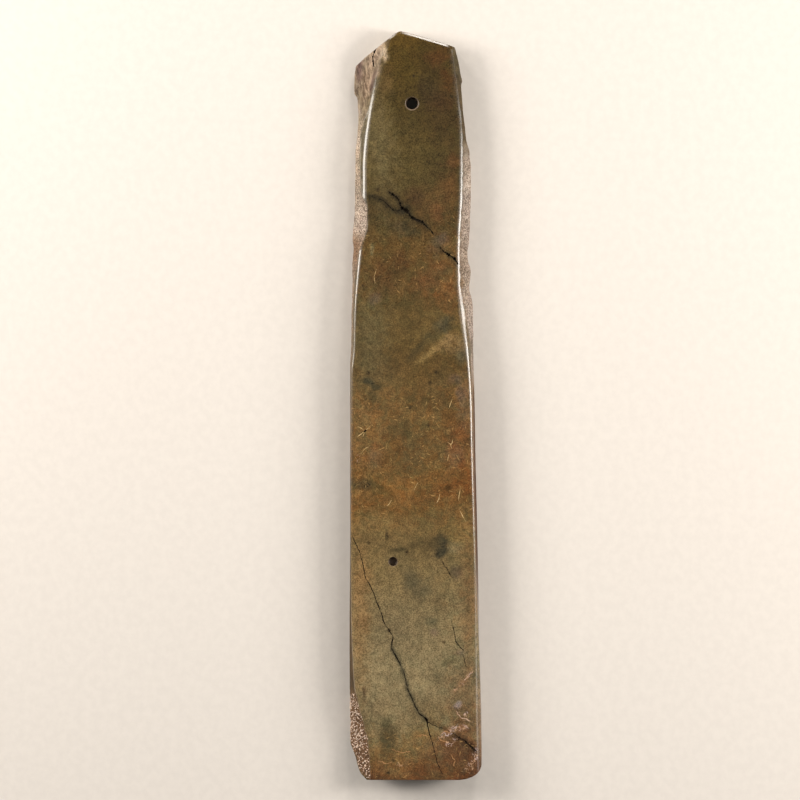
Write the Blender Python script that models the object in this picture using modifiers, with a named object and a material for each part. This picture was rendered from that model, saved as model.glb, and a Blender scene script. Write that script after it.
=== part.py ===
"""Straight chisel: one long greenstone blade, lying on its flat back with its polished face up.

The blade runs along Y: the straight cutting edge is at -Y, the pointed butt with its cord hole at +Y.
Both flanks keep the pebble's raw skin towards the butt and are ground square towards the edge.
Lengths along the blade are counted as stations, in millimetres from the cutting edge.
"""

import math

import bmesh
import bpy
import numpy as np
from mathutils import Matrix, Vector

MM = 0.001

# Driving dimensions, in millimetres.
LENGTH = 350.0
WIDTH = 62.0
THICKNESS = 13.0
BUTT_THICKNESS = 11.0
EDGE_THINNING = 0.6  # how much thinner the blade is at its edge than where it is fullest
CROWN = 0.35  # how much higher the face is along its middle than beside its edges
EDGE_ROLL = 0.45  # how far the face rolls down before it turns over each edge
ROLL_WIDTH = 4.0
ARRIS_RADIUS = 0.8
ARRIS_DROP = 0.6 * ARRIS_RADIUS  # how far down the rounded arris reaches
ARRIS_BEND = 1.6  # how late the arris turns down: 1 is a straight bevel
BACK_ARRIS = 0.5

# The bevel is ground on the back only, which leaves the face straight down to the edge.
BEVEL_LENGTH = 22.0
EDGE_THICKNESS = 0.9

# The butt is cut by two facets that meet at the tip.
TIP_X = -7.6
LEFT_FACET_ANGLE = math.radians(38.0)
RIGHT_FACET_ANGLE = math.radians(-16.7)

# The cord hole, and the blind drill mark lower on the face.
HOLE_X = -1.7
HOLE_STATION = 316.3
HOLE_RADIUS = 2.98
HOLE_RIM_RADIUS = 3.5
HOLE_RIM_DEPTH = 0.55
PIT_X = -10.6
PIT_STATION = 102.1
PIT_RADIUS = 2.1
PIT_DEPTH = 2.8

# The rounded corner at the right of the cutting edge, as a superellipse.
CORNER_WIDTH = 12.6
CORNER_LENGTH = 8.4
CORNER_POWER = 2.3

# Lines along the blade, as (station, value): X of the widest outline and of the face's edge on each side.
LEFT_OUTLINE = (
    (0, -30.4), (20, -30.8), (60, -31.0), (120, -30.7), (190, -30.7), (205, -30.2), (235, -29.7),
    (256, -29.4), (264, -28.7), (290, -28.2), (304, -27.2), (312, -26.9), (318, -27.4), (322, -28.8),
    (333, -28.4), (338, -27.0), (353, -24.0),
)
RIGHT_OUTLINE = (
    (0, 31.0), (24, 31.0), (42, 30.2), (90, 29.1), (150, 27.8), (200, 26.9), (222, 26.7), (230, 25.1),
    (238, 25.8), (246, 24.4), (255, 25.3), (280, 25.9), (294, 25.3), (299, 24.0), (312, 22.2),
    (325, 21.3), (328, 21.8), (334, 20.5), (343, 18.2), (353, 16.0),
)
LEFT_FACE_EDGE = (
    (0, -20.8), (18, -22.0), (30, -25.2), (38, -27.1), (52, -28.9), (72, -29.9), (110, -30.3),
    (190, -30.2), (200, -29.2), (225, -28.4), (240, -26.9), (252, -25.1), (258, -23.5), (266, -23.2),
    (273, -24.1), (286, -24.1), (300, -23.1), (318, -19.9), (332, -16.4), (347, -12.9), (353, -11.5),
)
RIGHT_FACE_EDGE = (
    (0, 29.4), (30, 28.6), (75, 28.2), (120, 27.0), (175, 25.9), (195, 25.0), (214, 22.6), (224, 20.8),
    (240, 20.0), (256, 20.2), (270, 21.0), (292, 21.4), (304, 21.1), (318, 19.6), (339, 17.0),
    (353, 15.2),
)
# Height of the widest line above the back, as a share of the thickness there.
LEFT_WIDE_HEIGHT = (
    (0, 0.24), (38, 0.24), (60, 0.10), (185, 0.08), (215, 0.38), (300, 0.45), (322, 0.36), (353, 0.36),
)
RIGHT_WIDE_HEIGHT = ((0, 0.10), (180, 0.08), (212, 0.40), (292, 0.44), (303, 0.30), (353, 0.24))
# How far each flank keeps the rough skin or a break: 0 is ground smooth, 1 is fully rough.
LEFT_ROUGHNESS = ((0, 1.0), (38, 1.0), (46, 0.0), (188, 0.0), (205, 1.0), (353, 1.0))
RIGHT_ROUGHNESS = ((0, 0.0), (180, 0.0), (196, 1.0), (292, 1.0), (302, 0.0), (353, 0.0))
# How far the flank's profile bulges (+) or hollows (-) between the face's edge and the widest line.
LEFT_BULGE = ((0, -0.9), (30, -0.9), (60, 0.0), (200, 0.0), (250, 0.8), (300, 0.6), (335, 1.4), (353, 1.2))
RIGHT_BULGE = ((0, 0.1), (190, 0.1), (230, 1.0), (285, 1.0), (305, 0.2), (353, 0.2))
FLANK_LUMPS = 0.45  # depth of the rough skin's lumps
LUMPY_SLANT = 5.0  # a flank narrower than this has shallower lumps
LEAST_OVERHANG = 0.25  # the widest line always stands this far outside the face's edge
BACK_TUCK = 1.6  # how far a rough flank turns in under its widest line
TUCK_HEIGHT = 4.0  # a widest line lower than this leaves less room to turn in
TUCK_BEND = (0.35, 0.45)  # where the tucked side bends, as shares of its depth and of its height

LOFT_END = 353.0  # the loft runs past the tip, and the butt's facets cut it back
FULL_STATIONS = (60.0, 220.0)  # the blade is fullest between these
CORNER_SHARES = (0.06, 0.18, 0.35, 0.6, 0.85)  # extra sections, closer where the corner turns fastest
STATION_STEP = 4.2
FACE_POINTS = 7
ARRIS_POINTS = 3
FLANK_POINTS = 4


def through(keys, station):
    """Value at a station of the smooth line through the keys, which never overshoots them."""
    at, value = (np.array(column, dtype=float) for column in zip(*keys))
    span = np.diff(at)
    rise = np.diff(value) / span
    slope = np.zeros(len(at))
    slope[0], slope[-1] = rise[0], rise[-1]
    same_way = rise[:-1] * rise[1:] > 0
    weighted = np.divide(3.0 * (span[:-1] + span[1:]),
                         (2 * span[1:] + span[:-1]) / np.where(same_way, rise[:-1], 1.0)
                         + (span[1:] + 2 * span[:-1]) / np.where(same_way, rise[1:], 1.0))
    slope[1:-1] = np.where(same_way, weighted, 0.0)
    i = int(np.clip(np.searchsorted(at, station) - 1, 0, len(span) - 1))
    t = (min(max(station, at[0]), at[-1]) - at[i]) / span[i]
    start = (1 + 2 * t) * (1 - t) ** 2 * value[i] + t * (1 - t) ** 2 * span[i] * slope[i]
    end = t * t * (3 - 2 * t) * value[i + 1] + t * t * (t - 1) * span[i] * slope[i + 1]
    return float(start + end)


def thickness_at(station):
    """Thickness of the blade, which thins gently towards both ends."""
    first_full, last_full = FULL_STATIONS
    line = ((0, THICKNESS - EDGE_THINNING), (first_full, THICKNESS), (last_full, THICKNESS),
            (LOFT_END, BUTT_THICKNESS))
    return through(line, station)


def lumps(station, around):
    """A lumpy surface between -1 and 1 for the rough skin, from waves that don't repeat together."""
    return (0.45 * math.sin(0.41 * station + 2.3 * around)
            + 0.35 * math.sin(0.93 * station - 3.7 * around + 1.3)
            + 0.20 * math.sin(1.77 * station + 5.1 * around + 4.0))


def corner_limit(station):
    """Largest X that the rounded right corner of the cutting edge leaves at this station."""
    if station >= CORNER_LENGTH:
        return WIDTH / 2
    down = (CORNER_LENGTH - station) / CORNER_LENGTH
    across = (1.0 - down ** CORNER_POWER) ** (1.0 / CORNER_POWER)
    return WIDTH / 2 - CORNER_WIDTH * (1.0 - across)


def flank(side, station):
    """Points (x, z) down one flank, from the end of the face's roll to the back, for side -1 or +1."""
    outline, edge, wide, rough, bulge = {
        -1: (LEFT_OUTLINE, LEFT_FACE_EDGE, LEFT_WIDE_HEIGHT, LEFT_ROUGHNESS, LEFT_BULGE),
        1: (RIGHT_OUTLINE, RIGHT_FACE_EDGE, RIGHT_WIDE_HEIGHT, RIGHT_ROUGHNESS, RIGHT_BULGE),
    }[side]
    thickness = thickness_at(station)
    roughness = through(rough, station)
    limit = corner_limit(station) if side > 0 else WIDTH / 2
    x_wide = min(abs(through(outline, station)), limit)
    x_edge = min(abs(through(edge, station)), x_wide - LEAST_OVERHANG)
    z_wide = through(wide, station) * thickness
    z_top = thickness - EDGE_ROLL
    z_edge = z_top - ARRIS_DROP
    run, fall = x_wide - x_edge, z_edge - z_wide
    slant = math.hypot(run, fall)
    outward = Vector((fall, run)) / slant
    turn = min(ARRIS_RADIUS, 0.4 * slant)
    points = []
    for i in range(1, ARRIS_POINTS + 1):
        share = i / ARRIS_POINTS
        x = x_edge + turn * 0.5 * share ** 2 * run / slant
        points.append((x, z_top - ARRIS_DROP * share ** ARRIS_BEND))
    start = Vector(points[-1])
    end = Vector((x_wide, z_wide))
    for i in range(1, FLANK_POINTS + 1):
        share = i / (FLANK_POINTS + 1)
        lump = roughness * FLANK_LUMPS * lumps(station, 2.0 * share + side)
        swell = through(bulge, station) * 4 * share * (1 - share) + lump * min(1.0, slant / LUMPY_SLANT)
        point = start.lerp(end, share) + outward * swell
        points.append((min(point.x, limit), point.y))
    points.append((x_wide, z_wide))
    tuck = BACK_ARRIS + BACK_TUCK * roughness * min(1.0, z_wide / TUCK_HEIGHT)
    inward, upward = TUCK_BEND
    points.append((x_wide - inward * tuck, z_wide * upward))
    points.append((x_wide - tuck, 0.0))
    return [(side * x, z) for x, z in points]


def section(station):
    """Closed section (x, z) at a station, going over the face from left to right and back underneath."""
    left, right = flank(-1, station), flank(1, station)
    x_left, x_right = left[0][0], right[0][0]
    middle, half = (x_left + x_right) / 2, (x_right - x_left) / 2
    face = []
    for i in range(FACE_POINTS):
        # Cosine spacing sets the points closer beside the edges, where the face rolls.
        x = middle - half * math.cos(math.pi * (i + 0.5) / FACE_POINTS)
        inside = half - abs(x - middle)
        rolled = EDGE_ROLL * max(0.0, 1 - inside / ROLL_WIDTH) ** 3
        crowned = CROWN * ((x - middle) / half) ** 2
        face.append((x, thickness_at(station) - rolled - crowned * (1 - EDGE_ROLL)))
    back = [(right[-1][0] * 0.5, 0.0), (left[-1][0] * 0.5, 0.0)]
    return left[::-1] + face + right + back


def new_object(name, mesh, collection, material=None):
    """An object that shows the mesh, linked to the collection."""
    obj = bpy.data.objects.new(name, mesh)
    collection.objects.link(obj)
    if material:
        mesh.materials.append(material)
    return obj


def new_cutter(name, bm, collection):
    """A helper solid that Boolean modifiers take away from the stone."""
    bmesh.ops.recalc_face_normals(bm, faces=bm.faces)
    mesh = bpy.data.meshes.new(name)
    bm.to_mesh(mesh)
    bm.free()
    obj = new_object(name, mesh, collection)
    obj.hide_render = True
    obj.display_type = "WIRE"
    return obj


def place(x, station, z=0.0):
    """A point in metres from millimetres across, along and above the blade's back."""
    return Vector((x, station - LENGTH / 2, z)) * MM


def loft_stone(collection, material):
    """The stone's body: sections of one point count, bridged ring to ring and capped at both ends."""
    count = round(LOFT_END / STATION_STEP)
    corner_stations = [CORNER_LENGTH * share for share in CORNER_SHARES]
    even_stations = [LOFT_END * i / count for i in range(count + 1)]
    stations = sorted(corner_stations + [s for s in even_stations if s == 0 or s > CORNER_LENGTH])
    bm = bmesh.new()
    rings = [[bm.verts.new(place(x, s, z)) for x, z in section(s)] for s in stations]
    for ring, after in zip(rings, rings[1:]):
        for i in range(len(ring)):
            j = (i + 1) % len(ring)
            bm.faces.new((ring[i], ring[j], after[j], after[i]))
    bm.faces.new(rings[0])
    bm.faces.new(rings[-1])
    bmesh.ops.recalc_face_normals(bm, faces=bm.faces)
    mesh = bpy.data.meshes.new("chisel")
    bm.to_mesh(mesh)
    bm.free()
    return new_object("chisel", mesh, collection, material)


def block_cutter(name, collection, matrix, size):
    """A box whose lower face's middle is at the matrix's origin."""
    bm = bmesh.new()
    bmesh.ops.create_cube(bm, size=1.0)
    bmesh.ops.translate(bm, verts=bm.verts, vec=(0, 0, 0.5))
    bmesh.ops.scale(bm, verts=bm.verts, vec=size)
    bmesh.ops.transform(bm, verts=bm.verts, matrix=matrix)
    return new_cutter(name, bm, collection)


def butt_cutters(collection):
    """Two blocks that lie along the butt's facets and meet over the tip."""
    tip = Matrix.Translation(place(TIP_X, LENGTH, THICKNESS / 2))
    reach = WIDTH * MM
    stand_up = Matrix.Rotation(-math.pi / 2, 4, "X")
    cutters = []
    for name, angle, way in (("butt_left", LEFT_FACET_ANGLE, -1), ("butt_right", RIGHT_FACET_ANGLE, 1)):
        along = Matrix.Translation((way * 0.45 * reach, 0, 0))
        matrix = tip @ Matrix.Rotation(angle, 4, "Z") @ along @ stand_up
        cutters.append(block_cutter(name, collection, matrix, (reach, 4 * THICKNESS * MM, reach / 2)))
    return cutters


def bevel_cutter(collection):
    """A block under the cutting edge, tilted to the bevel's slope, so that only the back is ground away."""
    rise = thickness_at(0) - EDGE_ROLL - EDGE_THICKNESS
    slope = math.atan2(rise, BEVEL_LENGTH)
    facing_down = Matrix.Rotation(math.pi - slope, 4, "X")
    along = Matrix.Translation((0, BEVEL_LENGTH * MM, 0))
    matrix = Matrix.Translation(place(0, BEVEL_LENGTH)) @ facing_down @ along
    return block_cutter("edge_bevel", collection, matrix,
                        (1.5 * WIDTH * MM, 4 * BEVEL_LENGTH * MM, 3 * THICKNESS * MM))


def turned_cutter(name, collection, centre, profile, sides=32):
    """A solid of revolution about Z, from a profile of (radius, height) in millimetres, top to bottom."""
    mesh = bpy.data.meshes.new(name)
    points = [(radius * MM, 0.0, height * MM) for radius, height in profile]
    mesh.from_pydata(points, [(i, i + 1) for i in range(len(points) - 1)], [])
    obj = new_object(name, mesh, collection)
    obj.location = centre
    obj.hide_render = True
    obj.display_type = "WIRE"
    turn = obj.modifiers.new("turn", "SCREW")
    turn.axis = "Z"
    turn.angle = 2 * math.pi
    turn.steps = turn.render_steps = sides
    turn.use_merge_vertices = True
    turn.merge_threshold = 0.00001
    return obj


def cord_hole_cutter(collection):
    """The bore right through, with the softened rim that drilling and wear left at both mouths."""
    top = thickness_at(HOLE_STATION)
    flare = HOLE_RIM_RADIUS - HOLE_RADIUS
    # The rims' slopes run on past both faces, to a little wider than the rims.
    past = HOLE_RIM_DEPTH
    upper = [(0.0, top + past), (HOLE_RIM_RADIUS + flare, top + past), (HOLE_RADIUS, top - HOLE_RIM_DEPTH)]
    lower = [(radius, top - height) for radius, height in reversed(upper)]
    return turned_cutter("cord_hole", collection, place(HOLE_X, HOLE_STATION), upper + lower)


def drill_mark_cutter(collection, rings=8):
    """The blind drill mark: a deep dimple with a round bottom."""
    profile = [(0.0, PIT_DEPTH)]
    for i in range(rings + 1):
        turn = math.pi / 2 * i / rings
        profile.append((PIT_RADIUS * math.cos(turn), -PIT_DEPTH * math.sin(turn)))
    profile.insert(1, (PIT_RADIUS, PIT_DEPTH))
    centre = place(PIT_X, PIT_STATION, thickness_at(PIT_STATION))
    return turned_cutter("drill_mark", collection, centre, profile, sides=24)


def nephrite():
    """Polished olive-brown greenstone."""
    material = bpy.data.materials.new("nephrite")
    material.use_nodes = True
    shader = material.node_tree.nodes["Principled BSDF"]
    shader.inputs["Base Color"].default_value = (0.13, 0.095, 0.045, 1)
    shader.inputs["Roughness"].default_value = 0.28
    shader.inputs["Metallic"].default_value = 0.0
    return material


def main():
    """Empties the scene, lofts the stone, and cuts its facets, bevel and holes with Boolean modifiers."""
    for obj in list(bpy.data.objects):
        bpy.data.objects.remove(obj, do_unlink=True)
    parts = bpy.data.collections.new("straight_chisel")
    cutters = bpy.data.collections.new("cutters")
    for collection in (parts, cutters):
        bpy.context.scene.collection.children.link(collection)
    stone = loft_stone(parts, nephrite())
    tools = butt_cutters(cutters)
    tools += [bevel_cutter(cutters), cord_hole_cutter(cutters), drill_mark_cutter(cutters)]
    for tool in tools:
        cut = stone.modifiers.new("cut_" + tool.name, "BOOLEAN")
        cut.operation = "DIFFERENCE"
        cut.solver = "EXACT"
        cut.object = tool


main()
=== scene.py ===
"""Looks of the straight chisel: one long polished greenstone blade, lying on its flat back, face up.

The blade runs along Y, with its cutting edge at -Y and its pierced, pointed butt at +Y. Places on it are
given as a station, in millimetres from the cutting edge, and an offset across, in millimetres from the
midline, plus to the right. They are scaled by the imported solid's own box, so the stone fills that space.
"""

import logging
import math
from collections.abc import Callable
from dataclasses import dataclass
from enum import Enum

import bmesh
import bpy
import numpy as np
from mathutils import Matrix, Vector, noise


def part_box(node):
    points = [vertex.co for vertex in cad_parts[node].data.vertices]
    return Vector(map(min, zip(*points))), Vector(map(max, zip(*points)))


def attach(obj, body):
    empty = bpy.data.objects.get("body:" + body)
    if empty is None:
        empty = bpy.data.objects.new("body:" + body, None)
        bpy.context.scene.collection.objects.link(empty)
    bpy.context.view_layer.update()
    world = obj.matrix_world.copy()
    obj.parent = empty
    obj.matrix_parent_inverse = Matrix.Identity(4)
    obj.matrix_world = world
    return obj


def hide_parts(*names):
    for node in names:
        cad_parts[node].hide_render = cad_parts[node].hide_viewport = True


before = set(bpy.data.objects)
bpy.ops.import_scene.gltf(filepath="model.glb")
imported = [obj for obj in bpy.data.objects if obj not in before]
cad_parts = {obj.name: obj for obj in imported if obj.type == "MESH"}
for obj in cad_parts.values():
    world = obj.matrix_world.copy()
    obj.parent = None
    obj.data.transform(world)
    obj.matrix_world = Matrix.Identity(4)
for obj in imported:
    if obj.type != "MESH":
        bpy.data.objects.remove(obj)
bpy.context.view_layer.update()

LOG = logging.getLogger("straight_chisel")

NODE = "chisel"
BODY = "root"
UV_NAME = "OFBake"

Array = np.ndarray
Piece = bpy.types.Object
Socket = bpy.types.NodeSocket
Places = tuple[Array, Array, Array]
Colour = tuple[float, float, float]
Keys = tuple[tuple[float, float], ...]
Path = tuple[tuple[float, float, float], ...]
Tones = tuple[tuple[float, Colour], ...]

LENGTH = 350.0
HALF_WIDTH = 31.0
THICKNESS = 13.0

LOW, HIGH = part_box(NODE)
MM = (HIGH.y - LOW.y) / LENGTH
CENTRE = (LOW + HIGH) / 2
ORIGIN = np.array((CENTRE.x, CENTRE.y, LOW.z))


class Side(Enum):
    """The two long sides of the blade, as seen with the butt at the top."""

    LEFT = -1
    RIGHT = 1


def place(across: Array, station: Array, height: Array) -> Array:
    """Turns places on the blade into points of the shared frame.

    Args:
        across: Offsets from the midline, in millimetres.
        station: Distances from the cutting edge, in millimetres.
        height: Heights above the flat back, in millimetres.

    Returns:
        The points in metres, one row each.
    """
    return np.stack([across, station - LENGTH / 2, height], axis=-1).reshape(-1, 3) * MM + ORIGIN


def on_blade(points: Array) -> Places:
    """Turns points in metres, one row each, back into offsets across, stations and heights."""
    local = (points - ORIGIN) / MM
    return local[:, 0], local[:, 1] + LENGTH / 2, local[:, 2]


def ease(value: Array, low: float, high: float) -> Array:
    """A smooth step from 0 at low to 1 at high."""
    share = np.clip((value - low) / (high - low), 0.0, 1.0)
    return share * share * (3.0 - 2.0 * share)


def linear(levels: Array) -> Array:
    """Screen levels, 0 to 255, as linear light."""
    share = np.clip(np.asarray(levels) / 255, 0, 1)
    return np.where(share <= 0.04045, share / 12.92, ((share + 0.055) / 1.055) ** 2.4)


def srgb(*levels: float) -> Colour:
    """A colour given by its screen levels, 0 to 255, as linear light."""
    return tuple(linear(levels).tolist())


def add_object(name: str, data: bpy.types.ID) -> Piece:
    """Makes an object and links it to the scene.

    Args:
        name: The object's name.
        data: Its mesh, light or camera.

    Returns:
        The new object.
    """
    obj = bpy.data.objects.new(name, data)
    bpy.context.scene.collection.objects.link(obj)
    return obj


def read(items: bpy.types.bpy_prop_collection, name: str, width: int = 1, kind: type = float) -> Array:
    """Reads one property of every item of a mesh, such as its points' places.

    Args:
        items: The mesh's points, faces or corners.
        name: The property.
        width: How many numbers it has for each item.
        kind: Type of those numbers.

    Returns:
        The numbers, one row for each item where there are several.
    """
    values = np.empty(len(items) * width, kind)
    items.foreach_get(name, values)
    return values.reshape(-1, width) if width > 1 else values


def settle(obj: Piece) -> Piece:
    """Makes an object's evaluated shape its plain mesh, and removes its modifiers.

    Args:
        obj: The object, with its modifiers live.

    Returns:
        The same object.
    """
    bpy.context.view_layer.update()
    graph = bpy.context.evaluated_depsgraph_get()
    mesh = bpy.data.meshes.new_from_object(obj.evaluated_get(graph), preserve_all_data_layers=True,
                                           depsgraph=graph)
    mesh.name = obj.data.name
    obj.modifiers.clear()
    obj.data = mesh
    return obj


@dataclass(frozen=True)
class Line:
    """A smooth line along the blade through a few (station, value) keys, which never overshoots them."""

    keys: Keys

    def at(self, station: Array) -> Array:
        """Reads the line.

        Args:
            station: Stations in millimetres, in an array of any shape.

        Returns:
            The line's value at each station.
        """
        at, value = (np.array(column, dtype=float) for column in zip(*self.keys))
        span = np.diff(at)
        rise = np.diff(value) / span
        slope = np.zeros(len(at))
        slope[0], slope[-1] = rise[0], rise[-1]
        same_way = rise[:-1] * rise[1:] > 0
        before, after = np.where(same_way, rise[:-1], 1.0), np.where(same_way, rise[1:], 1.0)
        mean = 3 * (span[:-1] + span[1:]) / (
            (2 * span[1:] + span[:-1]) / before + (span[1:] + 2 * span[:-1]) / after)
        slope[1:-1] = np.where(same_way, mean, 0.0)
        i = np.clip(np.searchsorted(at, station) - 1, 0, len(span) - 1)
        t = (np.clip(station, at[0], at[-1]) - at[i]) / span[i]
        start = (1 + 2 * t) * (1 - t) ** 2 * value[i] + t * (1 - t) ** 2 * span[i] * slope[i]
        return start + t * t * (3 - 2 * t) * value[i + 1] + t * t * (t - 1) * span[i] * slope[i + 1]


@dataclass(frozen=True)
class Flank:
    """One long side of the blade: ground square towards the edge, raw pebble skin towards the butt."""

    side: Side
    outline: Line  # offset of the widest line
    edge: Line  # offset of the face's edge
    wide_share: Line  # height of the widest line, as a share of the thickness
    roughness: Line  # 0 is ground smooth, 1 is raw skin or a break
    bulge: Line  # how far the profile swells between the edge and the widest line
    fillet: Line  # size of the rounded arris at the face's edge
    shoulder: Line  # width of the worn bevel just under the arris
    crest: Line  # how far a ridge stands out of the flank
    creep: Line  # how far the flank's skin comes up over the arris
    shoulder_drop: float = 0.11
    shoulder_limit: float = 0.9
    crest_drop: float = 0.42
    tuck_ground: float = 0.5
    tuck_raw: float = 1.9
    tuck_height: float = 4.0
    tuck_bend: float = 1.6
    least_overhang: float = 0.2

    def reach(self, station: Array) -> tuple[Array, Array]:
        """How far the face's edge and the widest line stand from the midline at these stations."""
        wide = np.minimum(np.abs(self.outline.at(station)), HALF_WIDTH)
        return np.minimum(np.abs(self.edge.at(station)), wide - self.least_overhang), wide

    def across(self, station: Array, height: Array, top: Array, thickness: Array) -> Array:
        """Reads the flank's profile.

        Args:
            station: Stations in millimetres.
            height: Heights above the back at which the profile is read.
            top: Height of the face's edge at each station.
            thickness: Thickness of the blade at each station.

        Returns:
            Distance from the midline at each height, always positive.
        """
        edge, wide = self.reach(station)
        widest = self.wide_share.at(station) * thickness
        down = np.clip((top - height) / (top - widest), 0.0, 1.0)
        under = np.clip((widest - height) / np.maximum(widest, 0.1), 0.0, 1.0)
        raw = self.roughness.at(station) * np.clip(widest / self.tuck_height, 0, 1)
        tuck = self.tuck_ground + (self.tuck_raw - self.tuck_ground) * raw
        slope = np.where(down < self.crest_drop, self.crest_drop, 1 - self.crest_drop)
        peak = 1 - np.abs(down - self.crest_drop) / slope
        swell = self.bulge.at(station) * 4 * down * (1 - down) + self.crest.at(station) * peak
        bevel = np.minimum(self.shoulder.at(station), self.shoulder_limit * (wide - edge))
        # The bevel's lower corner is blunted: this is a smooth form of the smaller of two numbers.
        soft = np.sqrt((down - self.shoulder_drop) ** 2 + 0.0004)
        upper = 0.5 * (down + self.shoulder_drop - soft) / self.shoulder_drop
        run = bevel * np.clip(upper, 0, 1) + (wide - edge - bevel) * down
        return edge + run + swell - tuck * under ** self.tuck_bend


@dataclass(frozen=True)
class BladeForm:
    """The blade's whole form: two flanks, a gently crowned face, a flat back and two worked ends."""

    left: Flank
    right: Flank
    thickness: Line
    crown: float = 0.35
    roll: float = 0.30
    roll_width: float = 3.2
    bevel_length: float = 22.0
    edge_thickness: float = 0.9
    edge_rim: float = 0.22
    tip_across: float = -7.6
    tip_blunting: float = 1.2
    left_facet: float = math.tan(math.radians(38.0))
    right_facet: float = math.tan(math.radians(16.7))
    corner_width: float = 12.6
    corner_length: float = 8.4
    corner_power: float = 2.3
    left_rim: float = 1.2
    right_rim: float = 1.7
    rim_tilt: float = math.radians(28.0)
    rim_slack: float = 4.0
    rim_lip: float = math.radians(62.0)

    def butt_rim(self, across: Array) -> Array:
        """Width of the worn bevel round the butt's rim: fine at the left facet, fuller at the right."""
        turned = ease(across, self.tip_across - 4, self.tip_across + 2)
        return self.left_rim + (self.right_rim - self.left_rim) * turned

    def back_height(self, station: Array) -> Array:
        """Height of the underside: flat, then rising along the bevel to the cutting edge.

        Args:
            station: Stations in millimetres.

        Returns:
            Heights above the flat back, in millimetres.
        """
        rise = self.thickness.at(np.zeros(1))[0] - self.crown - self.roll - self.edge_thickness
        slope = rise * (1 - station / self.bevel_length)
        return 0.5 * (slope + np.sqrt(slope ** 2 + 0.04)) * (station < 3 * self.bevel_length)

    def edge_height(self, station: Array) -> Array:
        """Height of the face's two long edges."""
        return self.thickness.at(station) - self.crown - self.roll

    def face_height(self, station: Array, across: Array) -> Array:
        """Height of the polished face, crowned across and rolling down beside its long edges.

        Args:
            station: Stations in millimetres.
            across: Offsets from the midline.

        Returns:
            Heights above the back, in millimetres.
        """
        left, right = self.left.reach(station)[0], self.right.reach(station)[0]
        middle, half = (right - left) / 2, (right + left) / 2
        offset = np.clip(np.abs(across - middle) / half, 0, 1)
        inside = half * (1 - offset)
        rolled = self.roll * np.clip(1 - inside / self.roll_width, 0, 1) ** 3
        return self.thickness.at(station) - self.crown * offset ** 2 - rolled

    def top_height(self, station: Array, across: Array, steps: int = 40) -> Array:
        """Height of the blade's upper surface, on the face and out over the flanks.

        Args:
            station: Stations in millimetres.
            across: Offsets from the midline.
            steps: How many heights of a flank's profile are compared.

        Returns:
            Heights above the back, in millimetres.
        """
        height = self.face_height(station, across)
        for i, (s, x) in enumerate(zip(station, across)):
            side = self.left if x < 0 else self.right
            if abs(x) > side.reach(station)[0][i]:
                at, top = np.full(steps, s), float(self.edge_height(np.array(s)))
                levels = np.linspace(top, 0.4 * top, steps)
                profile = side.across(at, levels, np.full(steps, top), self.thickness.at(at))
                height[i] = np.interp(abs(x), profile, levels)
        return height

    def finish(self, across: Array) -> Array:
        """Line of the butt's end: two facets that meet at a slightly blunted tip.

        Args:
            across: Offsets from the midline.

        Returns:
            The end's station at each offset.
        """
        off = across - self.tip_across
        soft = np.sqrt(off ** 2 + self.tip_blunting ** 2)
        mean = (self.left_facet + self.right_facet) / 2
        lean = (self.left_facet - self.right_facet) / 2
        # The blunting's fall at the tip is added back, so that the tip keeps the blade's full length.
        least = self.tip_blunting * math.sqrt(max(mean ** 2 - lean ** 2, 0.0))
        return LENGTH + least - mean * soft + lean * off

    def start(self, across: Array) -> Array:
        """Line of the cutting edge: straight, with a rounded corner at the right.

        Args:
            across: Offsets from the midline.

        Returns:
            The edge's station at each offset.
        """
        inner = HALF_WIDTH - self.corner_width
        u = np.clip((across - inner) / self.corner_width, 0, 1)
        return self.corner_length * (1 - (1 - u ** self.corner_power) ** (1 / self.corner_power))


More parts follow.
